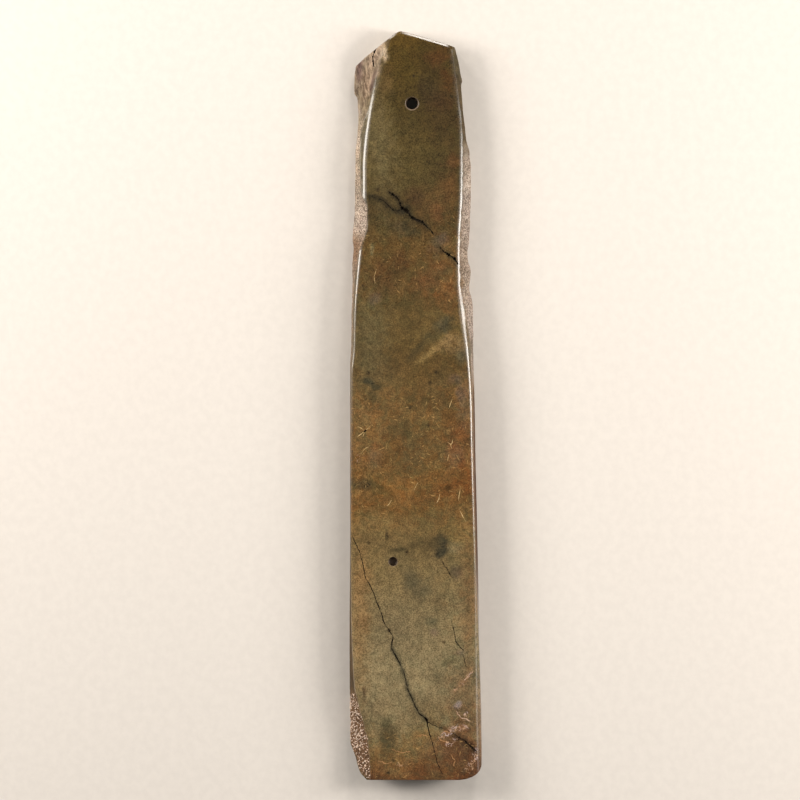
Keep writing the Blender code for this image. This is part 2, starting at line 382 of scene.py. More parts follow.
LEFT_FLANK = Flank(
    side=Side.LEFT,
    outline=Line((
        (0, -30.4), (20, -30.6), (60, -31.0), (120, -30.7), (194, -30.7), (205, -30.2), (217, -30.0),
        (225, -29.7), (241, -29.6), (248, -29.2), (255, -29.4), (261, -28.8), (275, -28.4), (292, -28.2),
        (302, -27.3), (311, -26.9), (317, -27.2), (319.5, -27.7), (321.5, -28.8), (328, -28.7),
        (333, -28.3), (337, -27.4), (350, -24.0), (360, -21.0))),
    edge=Line((
        (0, -20.8), (18, -22.0), (26, -24.0), (34, -26.1), (38, -27.1), (43, -28.2), (54, -29.1),
        (72, -29.9), (110, -30.3), (190, -30.2), (201, -29.2), (220, -28.8), (227, -28.3), (240, -26.9),
        (250, -25.5), (255, -24.0), (262, -23.1), (268, -23.2), (273, -24.1), (286, -24.1), (299, -23.2),
        (306, -22.2), (318, -19.9), (324, -18.5), (331, -16.6), (342, -13.8), (347, -12.9), (360, -9.5))),
    wide_share=Line(((0, 0.24), (38, 0.24), (60, 0.10), (185, 0.08), (215, 0.38), (300, 0.45), (322, 0.36),
                     (360, 0.36))),
    roughness=Line(((0, 1.0), (38, 1.0), (44, 0.0), (186, 0.0), (200, 1.0), (360, 1.0))),
    bulge=Line(((0, 3.4), (2.5, 3.2), (6, 2.0), (12, 0.7), (25, 0.4), (60, 0.0), (200, 0.0), (250, 0.7),
                (300, 0.6), (335, 1.6), (360, 1.4))),
    fillet=Line(((0, 0.4), (40, 0.45), (60, 0.6), (190, 0.7), (220, 1.1), (244, 1.0), (252, 0.35),
                 (268, 0.35), (274, 1.3), (300, 1.3), (308, 0.9), (322, 0.8), (334, 0.9), (360, 0.8))),
    shoulder=Line(((0, 0.0), (360, 0.0))),
    crest=Line(((0, 0.0), (318, 0.0), (328, 0.6), (338, 1.3), (360, 1.3))),
    creep=Line(((0, 0.3), (38, 0.3), (44, 0.0), (244, 0.0), (252, 1.0), (268, 1.0), (275, -0.3), (280, -0.6),
                (294, -1.2), (301, -1.8), (309, -1.7), (314, -0.5), (331, -0.5), (344, -0.4), (360, -0.3))),
)
RIGHT_FLANK = Flank(
    side=Side.RIGHT,
    outline=Line((
        (0, 31.0), (24, 31.0), (42, 30.5), (57, 30.0), (90, 29.5), (130, 28.7), (150, 28.2), (175, 27.8),
        (200, 27.1), (222, 26.9), (230, 25.2), (237, 25.9), (246, 24.4), (254, 25.3), (271, 25.9),
        (287, 25.9), (294, 25.2), (299, 24.0), (305, 23.1), (312, 22.2), (319, 21.7), (325, 21.3),
        (327.2, 21.9), (330, 21.2), (334, 20.5), (343, 18.2), (360, 14.0))),
    edge=Line((
        (0, 29.4), (30, 28.6), (75, 28.3), (103, 28.0), (125, 27.5), (150, 27.0), (175, 26.6), (188, 26.0),
        (201, 24.8), (214, 22.6), (221, 21.5), (231, 20.3), (242, 20.0), (256, 20.2), (265, 20.8),
        (275, 21.2), (290, 21.4), (304, 21.1), (311, 20.5), (323, 18.9), (339, 17.0), (360, 14.2))),
    wide_share=Line(((0, 0.10), (180, 0.08), (212, 0.40), (292, 0.44), (303, 0.30), (360, 0.24))),
    roughness=Line(((0, 0.0), (176, 0.0), (190, 0.8), (200, 1.0), (294, 1.0), (300, 0.0), (360, 0.0))),
    bulge=Line(((0, 0.1), (190, 0.1), (230, 1.0), (285, 1.0), (305, 0.2), (360, 0.2))),
    fillet=Line(((0, 0.35), (60, 0.4), (100, 0.6), (130, 0.9), (158, 1.3), (190, 1.6), (214, 2.0),
                 (230, 0.9), (244, 0.6), (262, 0.6), (284, 0.8), (296, 0.6), (360, 0.5))),
    shoulder=Line(((0, 1.9), (40, 1.8), (75, 0.7), (100, 0.0), (290, 0.0), (300, 1.2), (312, 2.4),
                   (360, 2.4))),
    crest=Line(((0, 0.0), (360, 0.0))),
    creep=Line(((0, -0.9), (70, -0.9), (110, 0.0), (360, 0.0))),
)
FORM = BladeForm(left=LEFT_FLANK, right=RIGHT_FLANK,
                 thickness=Line(((0, 12.9), (60, 13.0), (220, 13.0), (360, 10.9))))


@dataclass(frozen=True)
class Spacing:
    """How many points go round a section and along the blade."""

    along: float = 0.66
    face: int = 84
    arris: int = 9
    flank: int = 15
    back_arris: int = 4
    back: int = 8
    rim: int = 9
    wall: int = 7
    start_zone: float = 30.0
    finish_zone: float = 275.0
    rounds: int = 5  # of fitting the slanted rings to the ends' lines
    crowding: float = 0.6  # under 1, a rim's rings stand closer towards its lip

    @property
    def side(self) -> int:
        """Number of points down one side, from the face to the back."""
        return self.arris + self.flank + self.back_arris

    @property
    def section(self) -> int:
        """Number of points round a section."""
        return 2 * self.side + self.face + self.back


@dataclass(frozen=True)
class Rim:
    """How the surface rounds over one end of the blade and goes down its wall to a line inside it."""

    line: Callable[[Array], Array]  # the end's station at each offset
    way: int  # -1 at the cutting edge, 1 at the butt
    width: float | Array  # of the rounding, in millimetres
    tilt: float = math.pi / 2  # slope that the rounding turns to
    slack: float = 1.0  # 1 is an even arc, and more a tight turn and then a nearly flat bevel
    lip: float = math.pi / 2  # slope at its very end, where the wall starts
    margin: float = 1.5  # how far inside the wall's two ends the inner line stops
    lip_power: int = 24  # how late the lip turns


@dataclass(frozen=True)
class StoneMesh:
    """Builds the blade's closed surface, ring by ring, from its form."""

    form: BladeForm
    spacing: Spacing

    def fillet(self, flank: Flank, station: Array) -> Array:
        """Size of the rounded arris, held to a share of the height that the flank has for it."""
        room = self.form.edge_height(station) - self.form.back_height(station)
        return np.minimum(flank.fillet.at(station), 0.35 * room)

    def side_points(self, flank: Flank, station: Array) -> tuple[Array, Array]:
        """Points down one flank, from the face over the arris to the back.

        Args:
            flank: The side that is built.
            station: Stations, one column for each point down the flank.

        Returns:
            Offsets from the midline, always positive, and heights.
        """
        n = self.spacing
        thickness, top = self.form.thickness.at(station), self.form.edge_height(station)
        bottom = self.form.back_height(station)
        edge, wide = flank.reach(station)
        turn = self.fillet(flank, station)
        widest = flank.wide_share.at(station) * thickness
        lean = (wide - edge + 4 * flank.bulge.at(station)) / (top - widest)
        drop = turn / np.sqrt(1 + lean ** 2)
        foot = np.minimum(0.5, 0.25 * (top - bottom))

        def profile(height: Array) -> Array:
            """The flank's distance from the midline at these heights."""
            return flank.across(station, height, top, thickness)

        def bend(count: int, cols: slice, *corners: tuple[Array, Array]) -> list[Array]:
            """Draws the arc that rounds a corner off.

            Args:
                count: How many points it has.
                cols: The columns that it fills.
                *corners: Where it starts, the corner itself and where it ends.

            Returns:
                Its offsets and its heights.
            """
            t = np.linspace(0, 1, count)
            return [(1 - t) ** 2 * a[:, cols] + 2 * t * (1 - t) * b[:, cols] + t * t * c[:, cols]
                    for a, b, c in zip(*corners)]

        inner = edge - turn
        face = self.form.face_height(station, flank.side.value * inner)
        arris_x, arris_z = bend(n.arris, slice(None, n.arris), (inner, face), (edge, top),
                                (profile(top - drop), top - drop))
        cols = slice(n.arris, n.arris + n.flank)
        share = (np.arange(n.flank) + 1) / (n.flank + 1)
        flank_z = (top - drop)[:, cols] * (1 - share) + (bottom + foot)[:, cols] * share
        flank_x = flank.across(station[:, cols], flank_z, top[:, cols], thickness[:, cols])
        low = profile(bottom)
        foot_x, foot_z = bend(n.back_arris, slice(n.arris + n.flank, None),
                              (profile(bottom + foot), bottom + foot), (low, bottom), (low - foot, bottom))
        return (np.concatenate([arris_x, flank_x, foot_x], axis=1),
                np.concatenate([arris_z, flank_z, foot_z], axis=1))

    def section(self, station: Array) -> tuple[Array, Array]:
        """Sections of the blade, over the face from left to right and back underneath.

        Args:
            station: Stations of every point, one row for each section.

        Returns:
            Offsets across and heights, in arrays of the same shape.
        """
        n, form = self.spacing, self.form
        left_x, left_z = self.side_points(form.left, station[:, :n.side][:, ::-1])
        face = station[:, n.side:n.side + n.face]
        far_side = n.side + n.face
        right_x, right_z = self.side_points(form.right, station[:, far_side:far_side + n.side])
        u = (np.arange(n.face) + 1) / (n.face + 1)
        # Part cosine spacing sets the points closer beside the edges, where the face rolls.
        u = 0.7 * u + 0.3 * (0.5 - 0.5 * np.cos(math.pi * u))
        left, right = (flank.reach(face)[0] - self.fillet(flank, face) for flank in (form.left, form.right))
        face_x = -left * (1 - u) + right * u
        under = station[:, far_side + n.side:]
        w = (np.arange(n.back) + 1) / (n.back + 1)
        back_x = right_x[:, -1:] * (1 - w) - left_x[:, -1:] * w
        return (np.concatenate([-left_x[:, ::-1], face_x, right_x, back_x], axis=1),
                np.concatenate([left_z[:, ::-1], form.face_height(face, face_x), right_z,
                                form.back_height(under)], axis=1))

    def body_rings(self) -> list[Places]:
        """Rings from the cutting edge to the butt, drawn aslant near the ends to follow their lines.

        Returns:
            The places of each ring's points.
        """
        n, form = self.spacing, self.form
        base = np.linspace(0, LENGTH, round(LENGTH / n.along) + 1)[:, None] * np.ones(n.section)
        station = base.copy()
        for _ in range(n.rounds):
            across, height = self.section(station)
            start = form.start(across) + form.edge_rim
            finish = form.finish(across) - form.butt_rim(across)
            near = start + (n.start_zone - start) * base / n.start_zone
            past = (base - n.finish_zone) / (LENGTH - n.finish_zone)
            far = n.finish_zone + (finish - n.finish_zone) * past
            station = np.where(base < n.start_zone, near, np.where(base > n.finish_zone, far, base))
        across, height = self.section(station)
        return list(zip(across, station, height))

    def cap_rings(self, ring: Places, rim: Rim) -> list[Places]:
        """Rings that round over the rim of an end and shrink along its wall to a line inside it.

        Args:
            ring: The body's last ring at that end.
            rim: How that end is rounded.

        Returns:
            The rings, outwards and then along the wall.
        """
        across, _, height = ring
        inner = np.clip(across, across.min() + rim.margin, across.max() - rim.margin)
        station = rim.line(inner)
        middle = (self.form.edge_height(station) + self.form.back_height(station)) / 2
        run, rise = inner - across, middle - height
        length = np.maximum(np.hypot(run, rise), 1e-6)
        rings = []
        share = np.linspace(0, 1, self.spacing.rim + 1) ** self.spacing.crowding
        turn = rim.tilt * (1 - (1 - share) ** rim.slack) + (rim.lip - rim.tilt) * share ** rim.lip_power
        out, down = (np.cumsum((v[1:] + v[:-1]) / 2 * np.diff(share)) for v in (np.cos(turn), np.sin(turn)))
        for left, drop in zip(1 - out / out[-1], down / out[-1]):
            inset = np.minimum(rim.width * drop / length, 0.7)
            rings.append((across + run * inset, rim.line(across) - rim.way * rim.width * left,
                          height + rise * inset))
        for i in range(1, self.spacing.wall):
            share = i / self.spacing.wall
            kept = (1 - share) * (1 - inset)
            rings.append((inner - run * kept, rim.line(across + run * share), middle - rise * kept))
        return rings

    def build(self) -> Piece:
        """Makes the closed mesh.

        Returns:
            The stone, before its relief and its cuts.
        """
        body, form = self.body_rings(), self.form
        edge = Rim(form.start, -1, form.edge_rim)
        butt = Rim(form.finish, 1, form.butt_rim(body[-1][0]), form.rim_tilt, form.rim_slack, form.rim_lip,
                   margin=4.0)
        rings = self.cap_rings(body[0], edge)[::-1] + body + self.cap_rings(body[-1], butt)
        points = np.concatenate([place(*ring) for ring in rings])
        count = self.spacing.section
        i = np.arange(count)
        j = (i + 1) % count
        ring_at = np.arange(len(rings) - 1)[:, None] * count
        quads = np.stack([ring_at + i, ring_at + count + i, ring_at + count + j, ring_at + j], axis=-1)
        ends = [list(range(count)), list(range(len(points) - count, len(points)))[::-1]]
        mesh = bpy.data.meshes.new("chisel_stone")
        mesh.from_pydata(points.tolist(), [], quads.reshape(-1, 4).tolist() + ends)
        mesh.validate()
        bm = bmesh.new()
        bm.from_mesh(mesh)
        bmesh.ops.triangulate(bm, faces=[f for f in bm.faces if len(f.verts) > 4])
        bmesh.ops.recalc_face_normals(bm, faces=bm.faces)
        if bm.calc_volume(signed=True) < 0:
            bmesh.ops.reverse_faces(bm, faces=bm.faces)
        bm.to_mesh(mesh)
        bm.free()
        return add_object("chisel_stone", mesh)


@dataclass(frozen=True)
class Pattern:
    """Cloudy noise: the size of its features in millimetres, how it is broken up, and its seed."""

    size: float
    detail: float = 2.0
    roughness: float = 0.5
    distortion: float = 0.0
    seed: float = 0.0


@dataclass
class Tree:
    """Short ways to add and join nodes, for a material or a geometry tree."""

    tree: bpy.types.NodeTree

    def join(self, value: object, socket: Socket) -> None:
        """Links a socket to an input, or sets a plain value on it.

        Args:
            value: The socket or value; None leaves the input alone.
            socket: The input.
        """
        if isinstance(value, bpy.types.NodeSocket):
            self.tree.links.new(value, socket)
        elif value is not None:
            socket.default_value = value

    def node(self, kind: str, inputs: dict | None = None, **settings: object) -> bpy.types.Node:
        """Adds a node.

        Args:
            kind: The node's type name.
            inputs: Values or sockets for its inputs, by identifier.
            **settings: The node's own properties.

        Returns:
            The new node.
        """
        node = self.tree.nodes.new(kind)
        for name, value in settings.items():
            setattr(node, name, value)
        by_identifier = {socket.identifier: socket for socket in node.inputs}
        for name, value in (inputs or {}).items():
            self.join(value, by_identifier[name])
        return node

    def add(self, kind: str, inputs: dict | None = None, output: int | str = 0,
            **settings: object) -> Socket:
        """Adds a node, and gives one of its outputs."""
        return self.node(kind, inputs, **settings).outputs[output]

    def maths(self, operation: str, first: object, *others: object) -> Socket:
        """Does arithmetic from left to right, or on one number alone.

        Args:
            operation: The step, such as ADD or MAXIMUM.
            first: The first number.
            *others: The numbers that follow it.

        Returns:
            The result.
        """
        for other in others or (None,):
            first = self.add("ShaderNodeMath", {"Value": first, "Value_001": other}, operation=operation)
        return first

    def plus(self, *values: object) -> Socket:
        """The sum of these numbers."""
        return self.maths("ADD", *values)

    def times(self, *values: object) -> Socket:
        """The product of these numbers."""
        return self.maths("MULTIPLY", *values)

    def ramp(self, value: object, low: float, high: float, out_low: float = 0.0,
             out_high: float = 1.0) -> Socket:
        """Maps low..high smoothly onto out_low..out_high, and holds those values outside."""
        inputs = {"Value": value, "From Min": low, "From Max": high, "To Min": out_low, "To Max": out_high}
        return self.add("ShaderNodeMapRange", inputs, interpolation_type="SMOOTHSTEP")

    def noise(self, vector: object, pattern: Pattern) -> Socket:
        """Adds a pattern.

        Args:
            vector: Coordinates that it is laid out on.
            pattern: Its size, detail and seed.

        Returns:
            Its strength, about 0.5 on average.
        """
        inputs = {"Vector": vector, "W": pattern.seed, "Scale": 1.0 / (pattern.size * MM),
                  "Detail": pattern.detail, "Roughness": pattern.roughness, "Distortion": pattern.distortion}
        return self.add("ShaderNodeTexNoise", inputs, noise_dimensions="4D")

    def cells(self, vector: object, pattern: Pattern, output: str = "Distance") -> Socket:
        """Scattered cells, with a pattern's size between them and its seed."""
        inputs = {"Vector": vector, "W": pattern.seed, "Scale": 1.0 / (pattern.size * MM)}
        return self.add("ShaderNodeTexVoronoi", inputs, output, voronoi_dimensions="4D")

    def blend(self, share: object, a: object, b: object) -> Socket:
        """Goes from the number a to the number b as the share goes from 0 to 1."""
        return self.add("ShaderNodeMix", {"Factor_Float": share, "A_Float": a, "B_Float": b},
                        data_type="FLOAT")

    def mix(self, amount: object, a: object, b: object, blend: str = "MIX") -> Socket:
        """Mixes two colours.

        Args:
            amount: Share of the second one.
            a: The first colour, or a socket that gives it.
            b: The second.
            blend: How they are put together, such as MIX or MULTIPLY.

        Returns:
            The mixed colour.
        """
        a, b = ((*value, 1.0) if isinstance(value, tuple) else value for value in (a, b))
        return self.add("ShaderNodeMix", {"Factor_Float": amount, "A_Color": a, "B_Color": b}, 2,
                        data_type="RGBA", blend_type=blend, clamp_factor=True)

    def tint(self, colour: Socket, by: object) -> Socket:
        """Multiplies a colour.

        Args:
            colour: The colour.
            by: Another colour, or the socket of a number, which may pass 1.

        Returns:
            The product.
        """
        if isinstance(by, bpy.types.NodeSocket):
            by = self.add("ShaderNodeCombineXYZ", {"X": by, "Y": by, "Z": by})
        return self.mix(1.0, colour, by, "MULTIPLY")

    def stretched(self, vector: object, stretch: float, turn: float) -> Socket:
        """The coordinates turned about Z by this many degrees, then drawn out this many times along Y."""
        inputs = {"Vector": vector, "Rotation": (0.0, 0.0, math.radians(turn)), "Scale": (1.0, stretch, 1.0)}
        return self.add("ShaderNodeMapping", inputs, vector_type="TEXTURE")

    def attribute(self, name: str, output: str = "Fac") -> Socket:
        """A named attribute of the mesh, for a material."""
        return self.add("ShaderNodeAttribute", output=output, attribute_name=name, attribute_type="GEOMETRY")

    def bump(self, height: Socket, shader: bpy.types.Node) -> None:
        """Roughens a shader's surface by a height in millimetres."""
        bump = self.add("ShaderNodeBump", {"Height": height, "Distance": MM, "Strength": 1.0})
        self.join(bump, shader.inputs["Normal"])


class GeometryTree(Tree):
    """A geometry tree with named inputs, which ends in Realize Instances and Set Material."""

    def __init__(self, name: str, material: bpy.types.Material, sizes: dict[str, object]) -> None:
        """Makes the tree's interface.

        Args:
            name: The tree's name.
            material: What its result wears, which becomes the input Finish.
            sizes: The other inputs' names, each with its number.
        """
        super().__init__(bpy.data.node_groups.new(name, "GeometryNodeTree"))
        face = self.tree.interface
        face.new_socket("Geometry", in_out="INPUT", socket_type="NodeSocketGeometry")
        kinds = {float: "NodeSocketFloat", int: "NodeSocketInt", bpy.types.Material: "NodeSocketMaterial"}
        self.values = {}
        for label, value in {**sizes, "Finish": material}.items():
            socket = face.new_socket(label, in_out="INPUT", socket_type=kinds[type(value)])
            self.values[socket.identifier] = value
        face.new_socket("Geometry", in_out="OUTPUT", socket_type="NodeSocketGeometry")
        self.inputs = self.tree.nodes.new("NodeGroupInput").outputs

    def named(self, name: str) -> Socket:
        """A number stored on the mesh under this name."""
        return self.add("GeometryNodeInputNamedAttribute", {"Name": name}, data_type="FLOAT")

    def vector(self, operation: str, a: Socket, b: object) -> Socket:
        """One step of vector arithmetic, where a scale takes a number as its second value."""
        second = "Scale" if operation == "SCALE" else "Vector_001"
        return self.add("ShaderNodeVectorMath", {"Vector": a, second: b}, operation=operation)

    def end(self, geometry: Socket) -> None:
        """Closes the tree.

        Args:
            geometry: What the tree has made, which is dressed in its finish.
        """
        real = self.add("GeometryNodeRealizeInstances", {"Geometry": geometry})
        dressed = self.add("GeometryNodeSetMaterial", {"Geometry": real, "Material": self.inputs["Finish"]})
        self.join(dressed, self.tree.nodes.new("NodeGroupOutput").inputs[0])

    def put_on(self, obj: Piece) -> Piece:
        """Runs the tree on an object, and keeps the result as its plain mesh.

        Args:
            obj: The object that gives the tree its geometry.

        Returns:
            The same object.
        """
        modifier = obj.modifiers.new(self.tree.name, "NODES")
        modifier.node_group = self.tree
        for identifier, value in self.values.items():
            modifier[identifier] = value
        return settle(obj)


def new_material(name: str) -> tuple[bpy.types.Material, Tree, bpy.types.Node]:
    """Makes an empty Principled material.

    Args:
        name: The material's name.

    Returns:
        The material, its tree and its shader.
    """
    material = bpy.data.materials.new(name)
    material.use_nodes = True
    material.node_tree.nodes.clear()
    tree = Tree(material.node_tree)
    shader = tree.node("ShaderNodeBsdfPrincipled")
    tree.join(shader.outputs[0], tree.node("ShaderNodeOutputMaterial").inputs["Surface"])
    return material, tree, shader


@dataclass(frozen=True)
class NephriteFinish:
    """Polished brown-green stone, which turns to grainy skin on its raw sides and to crystals in its break.

    It reads these from the stone's points: tone is the colour; skin, broken, satin and bloom say how far it
    is raw, broken, dull and flecked with lime; warmth and grit say how rusty and how coarse it is.
    """

    roughness: float = 0.20
    raw_roughness: float = 0.78
    ior: float = 1.6
    clouds: Pattern = Pattern(13.0, 3.0, 0.6, 0.4, 3.0)
    blotches: Pattern = Pattern(3.2, 3.0, 0.6, 0.6, 6.0)
    mottle: Pattern = Pattern(0.62, 2.0, 0.7, 0.5, 1.0)
    patches: Pattern = Pattern(6.5, 5.0, 0.62, 0.6, 7.0)
    rust: Pattern = Pattern(4.6, 4.0, 0.65, 0.8, 23.0)
    wisps: Pattern = Pattern(1.7, 2.0, 0.55, 2.2, 11.0)
    wisp_gaps: Pattern = Pattern(5.0, seed=5.0)
    grain: Pattern = Pattern(0.95, 2.0, 0.6, 0.3, 2.0)
    salt: Pattern = Pattern(0.72, 3.0, 0.75, seed=9.0)
    streaks: Pattern = Pattern(1.2, 5.0, 0.7, 0.6, 14.0)
    blush: Pattern = Pattern(4.0, 3.0, 0.6, seed=13.0)
    flecks: Pattern = Pattern(1.5, 5.0, 0.75, 1.6, 27.0)
    fleck_hues: Pattern = Pattern(3.6, seed=28.0)
    swell: Pattern = Pattern(26.0, seed=15.0)
    raw_grain: Pattern = Pattern(0.8, 4.0, 0.75, seed=17.0)
    crystals: Pattern = Pattern(1.35, seed=21.0)
    pocks: Pattern = Pattern(1.9, seed=19.0)
    needle_turns: tuple[float, ...] = (-62.0, -8.0, 34.0, 74.0)
    needle_colour: Colour = srgb(184, 150, 96)
    crystal_colour: Colour = srgb(226, 202, 180)
    fleck_colours: tuple[Colour, Colour] = (srgb(180, 162, 160), srgb(184, 148, 116))

    def build(self) -> bpy.types.Material:
        """Makes the material.

        Returns:
            The new material.
        """
        material, t, shader = new_material("polished_nephrite")
        at = t.add("ShaderNodeTexCoord", output="Object")
        tone = t.attribute("tone", "Color")
        broken = t.attribute("broken")
        raw = t.maths("MAXIMUM", t.attribute("skin"), broken)
        polished = t.maths("SUBTRACT", 1.0, raw)
        fine = t.noise(at, self.mottle)
        pores = t.times(t.ramp(t.noise(at, self.grain), 0.38, 0.29), 0.75)
        crystals = t.ramp(t.cells(at, self.crystals), 0.44, 0.30)
        bright = t.ramp(t.cells(at, self.crystals, "Color"), 0.44, 0.54)
        crystals = t.times(crystals, bright, broken)

        colour = self.polished_colour(t, at, tone, fine, polished)
        colour = t.mix(pores, colour, t.tint(colour, (0.50, 0.50, 0.42)))
        colour = t.mix(raw, colour, self.raw_colour(t, at, tone, broken))
        colour = t.mix(t.times(crystals, 0.85), colour, self.crystal_colour)
        t.join(self.with_flecks(t, at, colour), shader.inputs["Base Color"])

        satin = t.attribute("satin")
        dull = t.plus(t.ramp(fine, 0.35, 0.7, 0.0, 0.07), t.times(satin, 0.42), self.roughness)
        t.join(t.plus(t.times(polished, dull), t.times(raw, self.raw_roughness)), shader.inputs["Roughness"])
        shine = t.ramp(t.maths("MAXIMUM", satin, raw), 0.0, 1.0, 0.5, 0.12)
        t.join(shine, shader.inputs["Specular IOR Level"])
        shader.inputs["IOR"].default_value = self.ior

        pocks = t.times(t.ramp(t.cells(at, self.pocks), 0.5, 0.1), -0.16)
        t.bump(t.plus(t.times(t.noise(at, self.swell), 0.05), t.times(pores, polished, -0.006),
                      t.times(raw, t.plus(t.times(t.noise(at, self.raw_grain), 0.20), pocks)),
                      t.times(crystals, broken, 0.22)), shader)
        return material

    def polished_colour(self, t: Tree, at: Socket, tone: Socket, fine: Socket, polished: Socket) -> Socket:
        """The polished stone: its tone with green and rusty patches, clouds and pale threads.

        Args:
            t: The material's tree.
            at: Coordinates on the stone.
            tone: The stone's tone.
            fine: Its finest mottling.
            polished: How far it is polished.

        Returns:
            The colour.
        """
        warmth = t.attribute("warmth")
        patch = t.ramp(t.noise(at, self.patches), 0.38, 0.62)
        patched = t.mix(patch, t.tint(tone, (0.82, 0.93, 0.91)), t.tint(tone, (1.07, 1.04, 1.0)))
        colour = t.mix(t.ramp(warmth, 0.1, 0.8, 0.28, 1.0), tone, patched)
        rusty = t.ramp(t.plus(t.noise(at, self.rust), t.times(warmth, 0.14)), 0.56, 0.74)
        colour = t.mix(t.times(rusty, warmth, 0.6), colour, t.tint(tone, (1.12, 0.88, 0.66)))
        colour = t.tint(colour, t.times(t.ramp(t.noise(at, self.clouds), 0.3, 0.7, 0.91, 1.09),
                                        t.ramp(fine, 0.33, 0.67, 0.60, 1.42),
                                        t.ramp(t.noise(at, self.blotches), 0.32, 0.68, 0.80, 1.18)))
        threads = t.times(self.threads(t, at), polished, t.ramp(warmth, 0.5, 0.95, 0.10, 0.95))
        return t.mix(threads, colour, t.mix(0.45, t.tint(colour, (1.65, 1.55, 1.35)), self.needle_colour))

    def threads(self, t: Tree, at: Socket) -> Socket:
        """Curly wisps and short straight needles of paler mineral.

        Args:
            t: The material's tree.
            at: Coordinates on the stone.

        Returns:
            Their share, from 0 to 1.
        """
        ridge = t.maths("ABSOLUTE", t.maths("SUBTRACT", t.noise(at, self.wisps), 0.5))
        total = t.times(t.ramp(ridge, 0.030, 0.0), t.ramp(t.noise(at, self.wisp_gaps), 0.46, 0.62, 0.0, 0.5))
        for i, turn in enumerate(self.needle_turns):
            needle = t.noise(t.stretched(at, 5.0, turn), Pattern(0.6, 1.0, 0.4, seed=40.0 + i))
            total = t.maths("MAXIMUM", total, t.ramp(needle, 0.70, 0.78))
        return total

    def raw_colour(self, t: Tree, at: Socket, tone: Socket, broken: Socket) -> Socket:
        """The raw skin and the break: pale and dark grains, in streaks where the skin has little grit.

        Args:
            t: The material's tree.
            at: Coordinates on the stone.
            tone: The stone's tone.
            broken: Share of break.

        Returns:
            The colour.
        """
        streaks = t.ramp(t.noise(t.stretched(at, 3.0, 6.0), self.streaks), 0.36, 0.64, 0.05, 0.88)
        salt = t.blend(t.attribute("grit"), streaks, t.ramp(t.noise(at, self.salt), 0.40, 0.61))
        colour = t.mix(salt, t.tint(tone, (0.36, 0.32, 0.29)), t.tint(tone, (1.62, 1.64, 1.66)))
        colour = t.tint(colour, t.ramp(broken, 0.0, 1.0, 1.0, 0.72))
        blush = t.ramp(t.noise(at, self.blush), 0.42, 0.62, 0.0, 0.45)
        return t.mix(blush, colour, t.tint(colour, (1.02, 0.93, 0.92)))

    def with_flecks(self, t: Tree, at: Socket, colour: Socket) -> Socket:
        """Lays pale flecks of lime over a colour, where the stone carries them.

        Args:
            t: The material's tree.
            at: Coordinates on the stone.
            colour: The colour under them.

        Returns:
            The colour with its flecks.
        """
        bloom = t.attribute("bloom")
        fleck = t.ramp(t.plus(t.noise(at, self.flecks), t.times(bloom, 0.22)), 0.64, 0.74)
        fleck = t.times(fleck, t.ramp(bloom, 0.05, 0.5, 0.0, 0.9))
        hue = t.ramp(t.noise(at, self.fleck_hues), 0.38, 0.54)
        return t.mix(fleck, colour, t.mix(hue, *self.fleck_colours))


@dataclass(frozen=True)
class PlainStoneFinish:
    """A finish for one small feature: two colours that mix in a fine grain, with a rough surface."""

    name: str
    first: Colour
    second: Colour
    roughness: float
    shine: float = 0.5
    relief: float = 0.05
    grain: Pattern = Pattern(0.7, 3.0, 0.65, seed=4.0)
    drift: Pattern = Pattern(6.0, seed=8.0)

    def build(self) -> bpy.types.Material:
        """Makes the material.

        Returns:
            The new material.
        """
        material, t, shader = new_material(self.name)
        at = t.add("ShaderNodeTexCoord", output="Object")
        grain = t.noise(at, self.grain)
        share = t.ramp(t.plus(t.times(grain, 0.6), t.times(t.noise(at, self.drift), 0.4)), 0.38, 0.62)
        t.join(t.mix(share, self.first, self.second), shader.inputs["Base Color"])
        rough = t.ramp(grain, 0.3, 0.7, self.roughness - 0.06, self.roughness + 0.06)
        t.join(rough, shader.inputs["Roughness"])
        shader.inputs["IOR"].default_value = 1.55
        shader.inputs["Specular IOR Level"].default_value = self.shine
        t.bump(t.times(grain, self.relief), shader)
        return material


class Finish(Enum):
    """The finishes that the carved stone wears, in the order of its material slots."""

    STONE = NephriteFinish()
    BORE = PlainStoneFinish("bore_wall", srgb(66, 54, 40), srgb(104, 84, 60), 0.5)
    FISSURE = PlainStoneFinish("fissure_fill", srgb(20, 15, 9), srgb(40, 32, 20), 0.85, shine=0.1)
    PALE_VEIN = PlainStoneFinish("pale_vein", srgb(136, 108, 82), srgb(196, 166, 142), 0.4)
    RUST_VEIN = PlainStoneFinish("rust_vein", srgb(128, 88, 50), srgb(160, 120, 76), 0.35)
    GOLD_NEEDLE = PlainStoneFinish("gold_needle", srgb(146, 120, 74), srgb(186, 158, 112), 0.3)

    @property
    def slot(self) -> int:
        """Number of the finish's material slot."""
        return list(Finish).index(self)


CRYSTAL = PlainStoneFinish("break_crystal", srgb(188, 160, 138), srgb(240, 220, 202), 0.35)


@dataclass(frozen=True)
class Seam:
    """One line across the face: an open crack, or a thin vein inlaid almost flush.

    Its path is (across, station, half width) points, and its depth is a share of its half width.
    """

    name: str
    path: Path
    depth: float = 1.2
    wander: float = 0.22
    detail: float = 2.2
    finish: Finish = Finish.FISSURE


